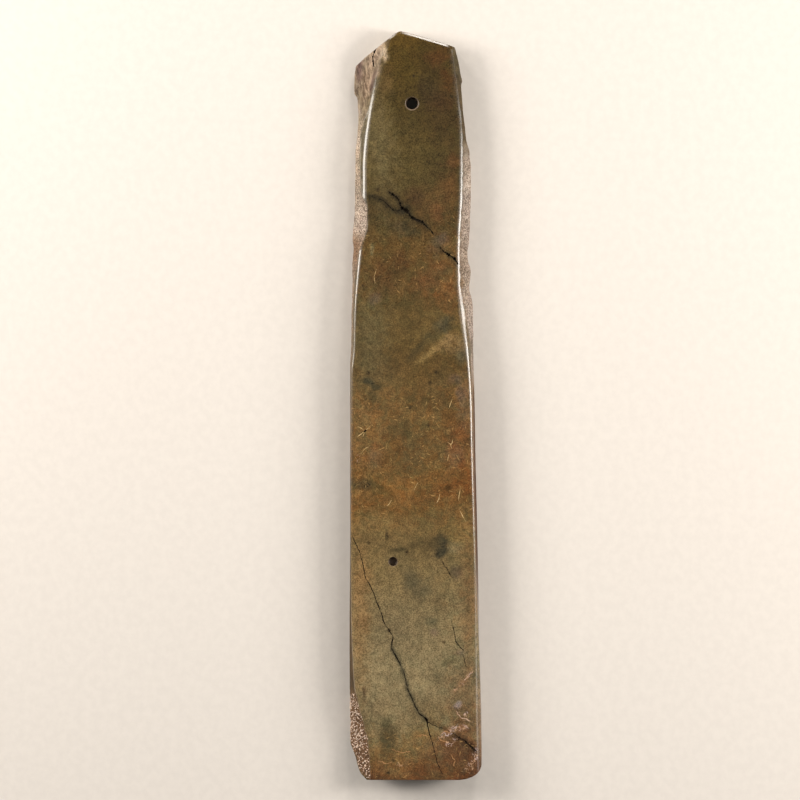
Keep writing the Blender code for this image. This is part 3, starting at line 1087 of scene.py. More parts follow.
OPEN_CRACKS = (
    Seam("upper_crack", (
        (-13.2, 275.4, 0.16), (-11.0, 273.8, 0.62), (-8.9, 272.2, 0.54), (-7.3, 269.9, 0.4),
        (-7.1, 268.2, 0.42), (-6.4, 267.3, 0.8), (-3.6, 265.4, 1.1), (-2.5, 263.6, 0.8), (-0.3, 261.9, 0.5),
        (3.0, 260.9, 0.56), (4.6, 258.9, 0.34), (5.6, 257.6, 0.2)), wander=0.36, detail=1.7),
    Seam("upper_crack_end", ((6.4, 257.6, 0.16), (7.4, 256.3, 0.4), (8.4, 254.8, 0.14)), depth=1.5),
    Seam("second_crack", (
        (11.5, 248.8, 0.2), (13.3, 246.7, 0.48), (15.8, 245.2, 0.56), (18.2, 243.6, 0.52),
        (19.8, 241.0, 0.3)), depth=1.6),
    Seam("long_crack", (
        (-29.9, 114.4, 0.1), (-27.9, 110.3, 0.19), (-26.4, 107.2, 0.15), (-24.8, 101.9, 0.2),
        (-23.6, 95.8, 0.15), (-23.0, 93.9, 0.18), (-20.1, 88.8, 0.16), (-18.5, 84.1, 0.2),
        (-17.1, 80.8, 0.26), (-15.7, 77.1, 0.3), (-14.8, 73.4, 0.18), (-12.4, 70.1, 0.25),
        (-10.6, 66.8, 0.34), (-11.4, 62.2, 0.25), (-10.1, 59.8, 0.28), (-7.3, 54.2, 0.2),
        (-5.4, 50.0, 0.16), (-4.5, 46.3, 0.22), (-3.6, 42.1, 0.16), (-1.7, 38.3, 0.22), (0.2, 33.6, 0.22),
        (2.1, 30.8, 0.24), (4.6, 28.9, 0.42), (5.5, 28.0, 0.44), (5.4, 26.2, 0.2), (6.7, 21.0, 0.22),
        (8.3, 15.6, 0.2), (10.0, 8.4, 0.22), (12.6, 2.6, 0.16)), depth=1.6, wander=0.42, detail=1.7),
)
HAIR_CRACKS = (
    Seam("flank_fissure", (
        (-18.6, 342.2, 0.24), (-19.4, 340.2, 0.34), (-20.1, 338.2, 0.36), (-20.0, 336.0, 0.3),
        (-19.5, 333.4, 0.16)), depth=4.0, wander=0.12),
    Seam("upper_branch", (
        (-22.3, 273.2, 0.08), (-18.0, 271.8, 0.14), (-14.9, 270.6, 0.18), (-12.2, 267.9, 0.24),
        (-10.2, 266.0, 0.26), (-8.3, 265.9, 0.2), (-6.9, 266.6, 0.1))),
    Seam("right_crack_high", (
        (12.0, 103.0, 0.08), (13.3, 100.6, 0.15), (14.6, 98.8, 0.12), (15.8, 96.2, 0.2),
        (17.3, 94.6, 0.1)), wander=0.4),
    Seam("right_crack_mid", (
        (16.5, 74.8, 0.08), (17.9, 70.1, 0.17), (18.9, 64.5, 0.16), (21.2, 61.7, 0.19),
        (22.9, 60.0, 0.08))),
    Seam("right_crack_low", ((22.3, 58.2, 0.08), (23.0, 55.0, 0.17), (23.6, 51.9, 0.08))),
    Seam("edge_branch", (
        (5.8, 27.2, 0.16), (8.6, 25.6, 0.3), (11.6, 24.4, 0.26),
        (14.2, 23.6, 0.12)), wander=0.36, detail=1.7),
    Seam("edge_crack", (
        (17.6, 21.8, 0.12), (20.6, 19.8, 0.22), (23.0, 18.4, 0.26), (25.6, 15.8, 0.34),
        (28.2, 13.4, 0.22)), wander=0.4, detail=1.7),
)
CRACK_PATHS = {seam.name: seam.path for seam in (*OPEN_CRACKS, *HAIR_CRACKS)}


def flush(name: str, finish: Finish, wander: float, *paths: Path) -> tuple[Seam, ...]:
    """Several thin veins of one finish, almost flush with the face."""
    return tuple(Seam(f"{name}_{i}", path, 0.1, wander, finish=finish) for i, path in enumerate(paths, 1))


VEINS = (
    *flush("pale_vein", Finish.PALE_VEIN, 0.35,
           ((18.7, 32.5, 0.1), (21.2, 29.1, 0.22), (23.9, 28.5, 0.2), (25.1, 27.7, 0.12)),
           ((26.6, 51.2, 0.06), (24.4, 48.6, 0.16), (22.8, 46.6, 0.1))),
    *flush("rust_vein", Finish.RUST_VEIN, 0.5,
           ((0.5, 20.2, 0.1), (3.0, 21.3, 0.24), (5.4, 20.7, 0.12)),
           ((10.6, 20.7, 0.14), (11.4, 18.7, 0.26), (14.0, 18.2, 0.14)),
           ((11.9, 21.8, 0.12), (13.5, 22.9, 0.24), (15.9, 22.4, 0.14)),
           ((-11.0, 14.4, 0.1), (-6.4, 13.0, 0.2), (-2.6, 13.6, 0.1)),
           ((16.2, 12.0, 0.1), (18.4, 9.4, 0.22), (17.8, 6.8, 0.12)),
           ((-17.6, 8.8, 0.1), (-13.8, 7.6, 0.22), (-10.9, 8.4, 0.1))),
    *flush("gold_needle", Finish.GOLD_NEEDLE, 0.12,
           ((-0.8, 135.4, 0.1), (0.2, 137.4, 0.2), (1.2, 139.4, 0.1)),
           ((20.2, 126.8, 0.1), (21.8, 123.7, 0.2), (23.7, 120.4, 0.1)),
           ((20.0, 130.6, 0.08), (20.3, 133.2, 0.17), (20.9, 136.0, 0.08)),
           ((15.5, 173.6, 0.08), (16.3, 175.9, 0.17), (17.2, 178.2, 0.08)),
           ((14.8, 158.0, 0.06), (16.2, 157.0, 0.13), (17.0, 154.8, 0.06)),
           ((17.4, 159.4, 0.06), (17.0, 157.4, 0.12), (16.2, 155.6, 0.06)),
           ((14.9, 149.2, 0.06), (15.2, 151.0, 0.14), (15.5, 152.4, 0.06)),
           ((-25.4, 152.6, 0.08), (-23.7, 154.8, 0.16), (-22.1, 155.7, 0.08)),
           ((-13.4, 128.0, 0.08), (-12.2, 129.2, 0.17), (-11.3, 130.8, 0.08)),
           ((9.7, 129.3, 0.08), (10.9, 131.4, 0.16), (11.3, 133.6, 0.08)),
           ((-18.4, 238.6, 0.08), (-19.4, 235.0, 0.16), (-19.0, 232.0, 0.08))),
    *flush("star_ray", Finish.GOLD_NEEDLE, 0.1,
           ((-24.3, 163.5, 0.2), (-25.6, 164.6, 0.2), (-27.0, 165.2, 0.08)),
           ((-24.4, 162.5, 0.18), (-25.9, 161.4, 0.18), (-27.5, 160.2, 0.08)),
           ((-23.9, 162.4, 0.2), (-24.3, 161.4, 0.2), (-24.7, 160.5, 0.08)),
           ((-22.9, 163.7, 0.2), (-22.2, 164.5, 0.2), (-21.6, 165.3, 0.08))),
)


class SeamCutter(GeometryTree):
    """Turns a path of points, each with its half width, into a flat wandering tube."""

    def __init__(self, seam: Seam, material: bpy.types.Material) -> None:
        """Builds the tree for one seam.

        Args:
            seam: The seam that is cut.
            material: What its walls wear.
        """
        super().__init__(seam.name, material, {
            "Spacing": 0.30 * MM, "Wander": seam.wander * MM, "Depth share": seam.depth,
            "Seed": len(seam.path) + seam.path[0][0]})
        self.seam = seam
        curve = self.add("GeometryNodeMeshToCurve", {"Mesh": self.inputs["Geometry"]})
        curve = self.add("GeometryNodeResampleCurve", {"Curve": curve, "Length": self.inputs["Spacing"]},
                         mode="LENGTH")
        where = self.add("GeometryNodeInputPosition")
        sway = self.add("ShaderNodeTexNoise", {
            "Vector": where, "W": self.inputs["Seed"], "Scale": 1 / (seam.detail * MM), "Detail": 4.0,
            "Roughness": 0.7}, "Color", noise_dimensions="4D")
        sway = self.vector("MULTIPLY", self.vector("SUBTRACT", sway, (0.5, 0.5, 0.5)), (4.0, 4.0, 0.0))
        curve = self.add("GeometryNodeSetPosition", {
            "Geometry": curve, "Offset": self.vector("SCALE", sway, self.inputs["Wander"])})
        curve = self.add("GeometryNodeSetCurveNormal", {"Curve": curve}, mode="Z_UP")
        swell = self.ramp(self.noise(where, Pattern(1.3, 3.0, 0.7, seed=6.0)), 0.34, 0.66, 0.30, 1.60)
        circle = self.add("GeometryNodeCurvePrimitiveCircle", {"Resolution": 10, "Radius": 1.0})
        squash = self.add("ShaderNodeCombineXYZ", {"X": 1.0, "Y": self.inputs["Depth share"], "Z": 1.0})
        oval = self.add("GeometryNodeTransform", {"Geometry": circle, "Scale": squash})
        self.end(self.add("GeometryNodeCurveToMesh", {
            "Curve": curve, "Profile Curve": oval, "Scale": self.times(self.named("half_width"), swell),
            "Fill Caps": True}))

    def cut(self) -> Piece:
        """Makes the seam's cutter, lying along the polished face.

        Returns:
            A closed tube.
        """
        across, station, half = (np.array(column) for column in zip(*self.seam.path))
        points = place(across, station, FORM.top_height(station, across))
        mesh = bpy.data.meshes.new(self.seam.name)
        mesh.from_pydata(points.tolist(), [(i, i + 1) for i in range(len(points) - 1)], [])
        mesh.attributes.new("half_width", "FLOAT", "POINT").data.foreach_set("value", half * MM)
        return self.put_on(add_object(self.seam.name, mesh))


class RawRelief(GeometryTree):
    """Lifts and sinks the raw skin and the break into lumps, leaving the polished stone alone."""

    def __init__(self, material: bpy.types.Material) -> None:
        """Builds the tree.

        Args:
            material: What the stone wears.
        """
        super().__init__("raw_relief", material, {
            "Lump height": 0.85 * MM, "Knob height": 0.55 * MM, "Break height": 1.3 * MM})
        where = self.add("GeometryNodeInputPosition")
        lumps, knobs, crumbs = (
            self.times(self.maths("SUBTRACT", self.noise(where, Pattern(size, 3.0, 0.55, 0.3, seed)), 0.52),
                       self.inputs[height])
            for size, seed, height in ((8.0, 31.0, "Lump height"), (2.6, 32.0, "Knob height"),
                                       (2.1, 33.0, "Break height")))
        lift = self.plus(self.times(self.named("skin"), self.plus(lumps, knobs)),
                         self.times(self.named("broken"), crumbs))
        self.end(self.add("GeometryNodeSetPosition", {
            "Geometry": self.inputs["Geometry"],
            "Offset": self.vector("SCALE", self.add("GeometryNodeInputNormal"), lift)}))


class Crystals(GeometryTree):
    """Scatters small angular crystals over the break."""

    def __init__(self, material: bpy.types.Material) -> None:
        """Builds the tree.

        Args:
            material: What the crystals wear.
        """
        super().__init__("break_crystals", material, {
            "Size": 0.42 * MM, "Per square metre": 0.62 / MM ** 2, "Seed": 4})
        density = self.times(self.ramp(self.named("broken"), 0.55, 0.95), self.inputs["Per square metre"])
        points = self.add("GeometryNodeDistributePointsOnFaces", {
            "Mesh": self.inputs["Geometry"], "Density": density, "Seed": self.inputs["Seed"]})
        turn, size = (
            self.add("FunctionNodeRandomValue", {"Min": least, "Max": most, "Seed": seed},
                     data_type="FLOAT_VECTOR")
            for least, most, seed in (((0.0, 0.0, 0.0), (6.28, 6.28, 6.28), 5),
                                      ((0.5, 0.5, 0.4), (1.5, 1.1, 0.9), 6)))
        grain = self.add("GeometryNodeMeshIcoSphere", {"Radius": 1.0, "Subdivisions": 1})
        self.end(self.add("GeometryNodeInstanceOnPoints", {
            "Points": points, "Instance": grain, "Rotation": turn,
            "Scale": self.vector("SCALE", size, self.inputs["Size"])}))


QUARTER_TURN = tuple(math.pi / 2 * i / 6 for i in range(7))
PAST_FACE = 0.6


def mouth(radius: float, lip: float) -> Keys:
    """The rounded lip of a drilled hollow, as (radius, depth) points that start above the face."""
    lip_points = ((radius + lip * (1 - math.sin(a)), lip * (1 - math.cos(a))) for a in QUARTER_TURN)
    return ((radius + lip + 0.05, -PAST_FACE), *lip_points)


def lipped(radius: float, lip: float, depth: float, floor: float) -> Keys:
    """The wall of a drilled hollow with a rounded lip and a rounded floor.

    Args:
        radius: Radius of the straight wall.
        lip: Radius of the rounding at the mouth.
        depth: Depth of the floor.
        floor: Radius of the rounding at the floor, under the wall's radius.

    Returns:
        The profile's (radius, depth) points, from above the face down to the floor.
    """
    foot = ((radius - floor * (1 - math.cos(a)), depth - floor * (1 - math.sin(a))) for a in QUARTER_TURN)
    return (*mouth(radius, lip), *foot)


def through_bore(radius: float, lip: float, waist: float, thickness: float) -> Keys:
    """The wall of a bore through the blade, with rounded lips at both mouths and a slightly narrower waist.

    Args:
        radius: Radius just inside the mouths.
        lip: Radius of the rounding at the mouths.
        waist: Radius halfway through.
        thickness: Thickness of the blade there.

    Returns:
        The profile's (radius, depth) points, from above the face to below the back.
    """
    upper = mouth(radius, lip)
    return (*upper, (waist, thickness / 2), *((r, thickness - depth) for r, depth in upper[::-1]))


@dataclass(frozen=True)
class Drilling:
    """One round hole or hollow, drilled down from the face, as (radius, depth) points of its wall."""

    name: str
    across: float
    station: float
    profile: Keys
    finish: Finish = Finish.BORE
    sides: int = 56
    stretch: float = 1.0
    turn: float = 0.0

    def cut(self) -> Piece:
        """Makes the cutter by turning the profile.

        Returns:
            A closed solid of revolution.
        """
        across, station = np.array(self.across), np.array(self.station)
        top = Vector(place(across, station, FORM.face_height(station, across))[0])
        bm = bmesh.new()
        rings = [[bm.verts.new((radius * MM * math.cos(a), radius * MM * math.sin(a), -depth * MM))
                  for a in (2 * math.pi * i / self.sides for i in range(self.sides))]
                 for radius, depth in self.profile]
        for upper, lower in zip(rings, rings[1:]):
            for i in range(self.sides):
                j = (i + 1) % self.sides
                bm.faces.new((upper[i], upper[j], lower[j], lower[i]))
        bm.faces.new(rings[0])
        bm.faces.new(rings[-1][::-1])
        matrix = Matrix.Translation(top) @ Matrix.Rotation(math.radians(self.turn), 4, "Z")
        matrix @= Matrix.Diagonal((self.stretch, 1 / self.stretch, 1, 1))
        bmesh.ops.transform(bm, matrix=matrix, verts=bm.verts)
        bmesh.ops.recalc_face_normals(bm, faces=bm.faces)
        mesh = bpy.data.meshes.new(self.name)
        bm.to_mesh(mesh)
        bm.free()
        return add_object(self.name, mesh)


DRILLINGS = (
    Drilling("cord_hole", -1.7, 316.3, through_bore(2.80, 0.62, 2.62, 11.2)),
    Drilling("drill_mark", -10.6, 102.1, lipped(2.05, 0.20, 2.8, 1.0)),
    Drilling("star_pit", -23.6, 163.1, lipped(0.42, 0.16, 0.7, 0.25), Finish.FISSURE, 24, 1.5, 35.0),
)


def carve(stone: Piece, cutter: Piece, finish: Finish) -> None:
    """Cuts a closed solid out of the stone, and lets the cut walls wear one of its finishes.

    Args:
        stone: The stone, a plain mesh.
        cutter: The solid, which is removed afterwards.
        finish: What the cut walls wear.
    """
    cutter.data.materials.clear()
    for material in stone.data.materials:
        cutter.data.materials.append(material)
    cutter.data.polygons.foreach_set("material_index", [finish.slot] * len(cutter.data.polygons))
    modifier = stone.modifiers.new(cutter.name, "BOOLEAN")
    modifier.operation = "DIFFERENCE"
    modifier.solver = "MANIFOLD"
    modifier.object = cutter
    settle(stone)
    bpy.data.objects.remove(cutter)


def wobble(points: Array, size: float, seed: float) -> Array:
    """Smooth seeded noise at each place, about -1 to 1, with features of this size in millimetres."""
    return np.array([noise.noise(p) for p in (points / size + seed * 17.3).tolist()]) * 1.6


@dataclass(frozen=True)
class Stain:
    """One patch of another colour in the stone, ragged at its border, which fades over its softness."""

    across: float
    station: float
    half_width: float
    half_length: float
    colour: Colour
    strength: float = 0.6
    turn: float = 0.0
    softness: float = 0.8

    def share(self, across: Array, station: Array, ragged: Array) -> Array:
        """How much of the stain lies at each point.

        Args:
            across: Offsets of the points.
            station: Stations of the points.
            ragged: Noise that moves the border in and out.

        Returns:
            Shares from 0 to the stain's strength.
        """
        cos, sin = math.cos(math.radians(self.turn)), math.sin(math.radians(self.turn))
        dx, dy = across - self.across, station - self.station
        u, v = (dx * cos + dy * sin) / self.half_width, (dy * cos - dx * sin) / self.half_length
        return self.strength * (1 - ease(np.hypot(u, v) + ragged, 1 - self.softness, 1 + self.softness))


# Tones of the stone along its length, from the cutting edge to the butt. They grow lighter towards the
# cutting edge, partly from the stone's own colour and partly from painted light, a painted brightening
# towards the edge.
ALONG_TONES_AND_PAINTED_LIGHT = (
    (0, (98, 64, 38)), (5, (106, 76, 46)), (11, (116, 92, 58)), (22, (132, 114, 81)), (50, (133, 118, 86)),
    (84, (127, 109, 75)), (104, (117, 98, 63)), (118, (116, 93, 56)), (128, (112, 84, 46)),
    (140, (113, 85, 47)), (152, (106, 83, 48)), (162, (98, 78, 46)), (180, (105, 82, 48)),
    (197, (92, 72, 39)), (214, (98, 79, 44)), (230, (86, 67, 37)), (250, (89, 68, 36)), (264, (76, 61, 33)),
    (290, (81, 68, 36)), (318, (71, 57, 26)), (350, (80, 61, 23)))
LEFT_SKIN_TONES = (
    (0, (132, 102, 76)), (36, (124, 96, 70)), (44, (70, 54, 34)), (80, (70, 55, 34)), (185, (92, 74, 48)),
    (205, (154, 136, 118)), (238, (148, 130, 112)), (248, (152, 130, 108)), (260, (172, 157, 142)),
    (276, (160, 145, 128)), (290, (178, 162, 142)), (306, (186, 171, 156)), (318, (156, 140, 124)),
    (350, (152, 134, 116)))
# Tones of the right flank. Up to station 50 its polished ground flank is a pale pinkish grey, which is
# painted sheen over the brown stone.
RIGHT_FLANK_TONES_AND_SHEEN = (
    (0, (132, 110, 92)), (50, (134, 113, 95)), (64, (106, 80, 58)), (76, (76, 48, 28)), (175, (76, 47, 24)),
    (190, (152, 137, 124)), (205, (163, 150, 139)), (292, (163, 150, 136)), (302, (92, 78, 56)),
    (350, (100, 86, 64)))
BACK_TONE = (98, 82, 54)
WARMTH = Line((
    (0, 1.0), (20, 0.75), (34, 0.25), (100, 0.15), (118, 0.45), (130, 0.95), (176, 0.85), (190, 0.3),
    (214, 0.3), (228, 0.75), (256, 0.7), (272, 0.3), (300, 0.2), (350, 0.35)))

DARK = (50, 39, 22)
RUST = (112, 70, 36)
HAZE = (100, 80, 64)
CREAM = (206, 182, 156)
FLESH = (176, 152, 128)
PLUM = (94, 74, 68)
SMOKE = (76, 70, 52)


def spots(colour: Colour, strength: float, radius: float, *places: tuple[float, float]) -> tuple[Stain, ...]:
    """Several round stains of one colour and size."""
    return tuple(Stain(x, s, radius, radius, colour, strength, softness=0.6) for x, s in places)


def beside(colour: Colour, strength: float, radius: float, *path: tuple[float, ...]) -> tuple[Stain, ...]:
    """Soft stains end to end along a path, such as the darkened stone beside a crack.

    Args:
        colour: The stains' colour.
        strength: How strongly they cover the stone.
        radius: Half their width, in millimetres.
        *path: Places as (across, station) or longer tuples, whose further values are left out.

    Returns:
        One stain for each stretch of the path.
    """
    stains = []
    for (x, s, *_), (next_x, next_s, *_) in zip(path, path[1:]):
        turn = math.degrees(math.atan2(x - next_x, next_s - s))
        half = math.hypot(next_x - x, next_s - s) / 2 + 0.5 * radius
        stains.append(Stain((x + next_x) / 2, (s + next_s) / 2, radius, half, colour, strength, turn))
    return tuple(stains)


STAINS = (
    Stain(-18, 302, 7, 32, (106, 93, 62), 0.7, 8),
    Stain(-14, 327, 3, 7, (104, 80, 46), 0.55, -8),
    Stain(14, 316, 9, 28, (63, 49, 26), 0.75),
    Stain(12, 317.5, 7, 4.4, (72, 50, 29)),
    Stain(5, 322.5, 4, 6, (64, 51, 29), 0.6, 10),
    Stain(10.6, 338.8, 4.8, 3.6, (88, 54, 26), 0.65, 20),
    Stain(14.6, 328, 2.8, 5, (86, 54, 26), 0.65),
    Stain(17, 289, 3.4, 3.4, (102, 69, 40)),
    Stain(15, 276.5, 4.6, 8, (97, 67, 37), 0.65),
    Stain(9.8, 265, 2.8, 3.6, (94, 58, 33), 0.75),
    Stain(7.5, 268, 7, 7, (104, 76, 44), 0.5),
    Stain(-0.7, 272.5, 3.4, 3.4, (72, 52, 32)),
    Stain(-5.5, 258, 7, 3.4, (74, 64, 44), 0.65, -12),
    Stain(10.5, 250.5, 3.4, 5.4, (98, 80, 64), 0.6, -30),
    Stain(-20.4, 248, 0.8, 3.4, (128, 116, 84), 0.7, softness=0.7),
    Stain(-6.6, 242.4, 3.6, 4.4, (82, 57, 32), 0.65),
    Stain(12, 239.5, 4, 3.6, (110, 74, 44), 0.5),
    Stain(15.4, 225.5, 4.4, 5.4, (116, 76, 40), 0.65),
    Stain(5, 233.4, 6, 4.6, (104, 68, 39), 0.65, 30),
    Stain(17, 231, 4, 5, (114, 78, 42)),
    Stain(17, 236, 8, 22, (108, 84, 53), 0.35),
    Stain(-21, 205, 8, 22, (98, 87, 58), 0.7),
    Stain(-15.5, 235.6, 5.4, 6.4, (82, 58, 32), 0.75),
    Stain(-21, 166, 9, 14, (126, 96, 58), 0.7),
    Stain(-18.5, 151.2, 3.4, 5, (108, 88, 66)),
    Stain(-26.5, 151.5, 4, 4.6, (126, 90, 52)),
    Stain(-5, 151, 9, 8, (92, 73, 45), 0.7, 10),
    Stain(-11, 151, 4, 8, (96, 71, 37)),
    Stain(3.4, 177, 6, 5, (88, 68, 38)),
    Stain(20, 161, 6, 6.4, (108, 68, 36), 0.7),
    Stain(19, 151, 5, 5, (116, 86, 64)),
    Stain(23, 201, 4, 5, (100, 88, 70), 0.7, -10),
    Stain(22.5, 178, 3, 12, (110, 88, 68), 0.55),
    Stain(23.4, 142, 3.6, 8, (114, 68, 32), 0.7, -6),
    Stain(17, 138.5, 5, 4.6, (110, 72, 36), 0.7),
    Stain(15.3, 136.4, 1.6, 1.5, (66, 48, 22), 0.95, softness=0.4),
    Stain(-3, 131.6, 20, 3.6, (112, 80, 44), 0.45, 4),
    Stain(-19, 119, 8, 5, (126, 103, 64)),
    Stain(-24.6, 138.2, 5.6, 2.1, (68, 57, 35), 0.95, -8),
    Stain(-14.6, 135.2, 5, 1.8, (90, 68, 34), 0.7, -24),
    Stain(-22.4, 186.2, 2.6, 1.6, (64, 60, 42), 0.85, -20, 0.6),
    Stain(-18.4, 183.6, 2.2, 1.6, (64, 58, 38), 0.85, -20, 0.6),
    Stain(-20.4, 179.4, 2, 2.6, (76, 64, 38), 0.7, softness=0.6),
    Stain(12.4, 111.2, 3, 3, (50, 47, 34), 0.9, 20, 0.6),
    Stain(9.6, 108.6, 2.4, 4.2, (62, 54, 36), 0.85, 10, 0.6),
    Stain(12.6, 107, 2.9, 2.3, (50, 48, 35), 0.9, 30, 0.6),
    Stain(4.6, 110.6, 7, 3.8, (88, 74, 46), 0.7),
    Stain(18.4, 108.6, 3.4, 2.4, (124, 112, 86), 0.45),
    Stain(-1.2, 92.6, 3.6, 5.4, (86, 77, 55), 0.8, 12, 0.9),
    Stain(3.8, 88.2, 3.6, 5.6, (92, 82, 58), 0.75, -38, 0.9),
    Stain(10.5, 83, 3.4, 6, (100, 86, 58), 0.6, -10, 0.9),
    Stain(7.8, 74, 2.6, 2, (92, 86, 62), 0.7),
    Stain(18.9, 96.6, 2.6, 3, (96, 80, 60), 0.8),
    Stain(21.4, 59.6, 1.8, 1.6, (106, 92, 74), 0.7),
    Stain(15.4, 55.6, 4, 1.4, (100, 92, 64), 0.7, 24),
    Stain(10.2, 46.8, 3.4, 2.6, (100, 88, 62)),
    Stain(8.6, 69, 1.8, 1.6, (118, 98, 80)),
    Stain(-23.6, 73, 3, 3.4, (104, 82, 52)),
    Stain(-24.6, 95, 4, 6, (136, 106, 66), 0.55),
    Stain(-26, 76, 4, 32, (138, 105, 66)),
    Stain(25.6, 86, 3.4, 27, (120, 88, 56), 0.5),
    Stain(-12.6, 19.6, 3.8, 7.4, (80, 70, 46), 0.9),
    Stain(6, 33, 9, 5, (120, 102, 70), 0.5),
    Stain(22, 40, 7, 12, (118, 92, 64)),
    Stain(19, 13, 13, 10, (96, 68, 45), 0.85, softness=0.7),
    Stain(26.6, 8, 4, 7, (92, 64, 43), 0.7, 10),
    Stain(-28.4, 247, 2.4, 6, (122, 94, 70), 0.7),
    Stain(-1, 16, 6, 7, (122, 100, 64)),
    Stain(4.4, 21.4, 5.6, 2.6, (138, 106, 62), 0.55),
    Stain(23.5, 26, 5, 8, (100, 70, 46)),
    Stain(6.8, 27, 3.4, 6, (140, 119, 80), 0.5),
    Stain(-24, 40.2, 0.9, 3.2, (84, 66, 46), 0.7, softness=0.6),
    Stain(8, 200.8, 11, 1.4, (138, 112, 68), 0.9, 38, 0.45),
    Stain(15, 205.2, 6.4, 2.5, (136, 110, 70), 0.8, 30, 0.6),
    Stain(17.6, 203.6, 4.6, 4, (116, 96, 64), 0.6, 20),
    Stain(0.6, 200.6, 1.7, 7, (74, 62, 37), 0.75, -44, 0.7),
    Stain(8.6, 208.8, 5.6, 2.6, (80, 70, 44), 0.6, 32),
    Stain(13.6, 212.8, 3.8, 3, (78, 72, 54), 0.7, 24),
    Stain(-13.4, 114.4, 0.7, 2.6, (62, 52, 32), 0.8, 10, 0.6),
    Stain(-7.4, 107.6, 4, 0.7, (72, 62, 38), 0.8, 4, 0.6),
    *spots(DARK, 0.85, 0.75, (-24.6, 231.3), (-22.2, 190.2), (9.5, 190.7), (6.7, 185.5), (-2.6, 174.3),
           (6, 165.8), (13.3, 64.5), (-21.9, 110.8), (-4, 106.6), (-10.3, 9.3), (-12.6, 3.4), (17, 319.2),
           (-0.7, 329), (-17.6, 275.9), (-22.2, 138), (-12.4, 69.9)),
    *spots(RUST, 0.5, 1.8, (9.5, 226.6), (-14.3, 159.8), (-19, 156)),
    *spots(HAZE, 0.6, 2.6, (-19, 225.2), (12.8, 253), (18.4, 187.4), (21.2, 181)),
    *beside((50, 42, 25), 0.85, 1.3, *CRACK_PATHS["upper_branch"]),
    *beside((54, 45, 26), 0.65, 1.5, *CRACK_PATHS["upper_crack"]),
    Stain(-5.2, 266.2, 2.6, 1.5, (42, 38, 26), 0.8, 45, 0.7),
    Stain(19.6, 35, 1.9, 1.5, (146, 136, 140), 0.75, 20, 0.6),
    *beside((60, 48, 28), 0.55, 1.6, *CRACK_PATHS["second_crack"]),
    *beside(SMOKE, 0.7, 1, *CRACK_PATHS["long_crack"][13:24]),
    *beside((84, 66, 42), 0.5, 0.9, (5, 28.6), (9, 26.2), (14.6, 23.8)),
    *beside((56, 40, 26), 0.8, 1.5, (17.4, 22), (21, 19.4), (25.4, 15.8), (28, 13.4)),
    *beside((132, 100, 72), 0.5, 1.1, (26.4, 50.9), (22.8, 46), (19.6, 43), (17.2, 41.2)),
    *beside((128, 98, 78), 0.5, 1.3, (13, 20.6), (16.6, 23), (20, 24.6), (23.4, 24.6)),
    *beside((128, 98, 60), 0.5, 0.9, (-1, 20), (4, 21.2), (8.6, 19.6)),
    Stain(-15.4, 340.6, 1.9, 4.6, (202, 178, 152), 0.9, 18, 0.6),
    Stain(-21.4, 331, 1.5, 13, FLESH, 0.75, -9, 0.6),
    Stain(-26.4, 334, 1.5, 7, PLUM, 0.85, softness=0.6),
    Stain(-23.9, 326, 1, 8, (136, 114, 94), 0.6, -6, 0.6),
    Stain(-20, 326, 0.9, 5.4, PLUM, 0.8, -12, 0.6),
    Stain(-17.2, 333, 0.9, 5, (156, 132, 110), 0.7, -10, 0.6),
)
BLOOMS = (
    *beside(CREAM, 0.75, 1, (27, 51.6), (23.4, 47.2), (20.4, 44), (17, 41)),
    *beside(CREAM, 0.75, 1.8, (11.4, 19.6), (16, 22.6), (20, 24.6), (24.4, 24.6)),
    *beside(CREAM, 0.65, 1.2, (18.8, 32.4), (21.4, 29), (25.6, 27.6)),
    *spots(CREAM, 0.95, 1.8, (15.2, 16.8)),
    *spots(CREAM, 0.5, 1.7, (20.2, 34.8)),
    *spots(CREAM, 0.7, 1.6, (18.2, 18.9), (23.4, 30.8), (-7.6, 7)),
    *beside(CREAM, 0.8, 2.1, (29, 14.6), (27.4, 9.6), (24, 5)),
    Stain(-26.2, 151, 3, 4, CREAM, 0.4),
)


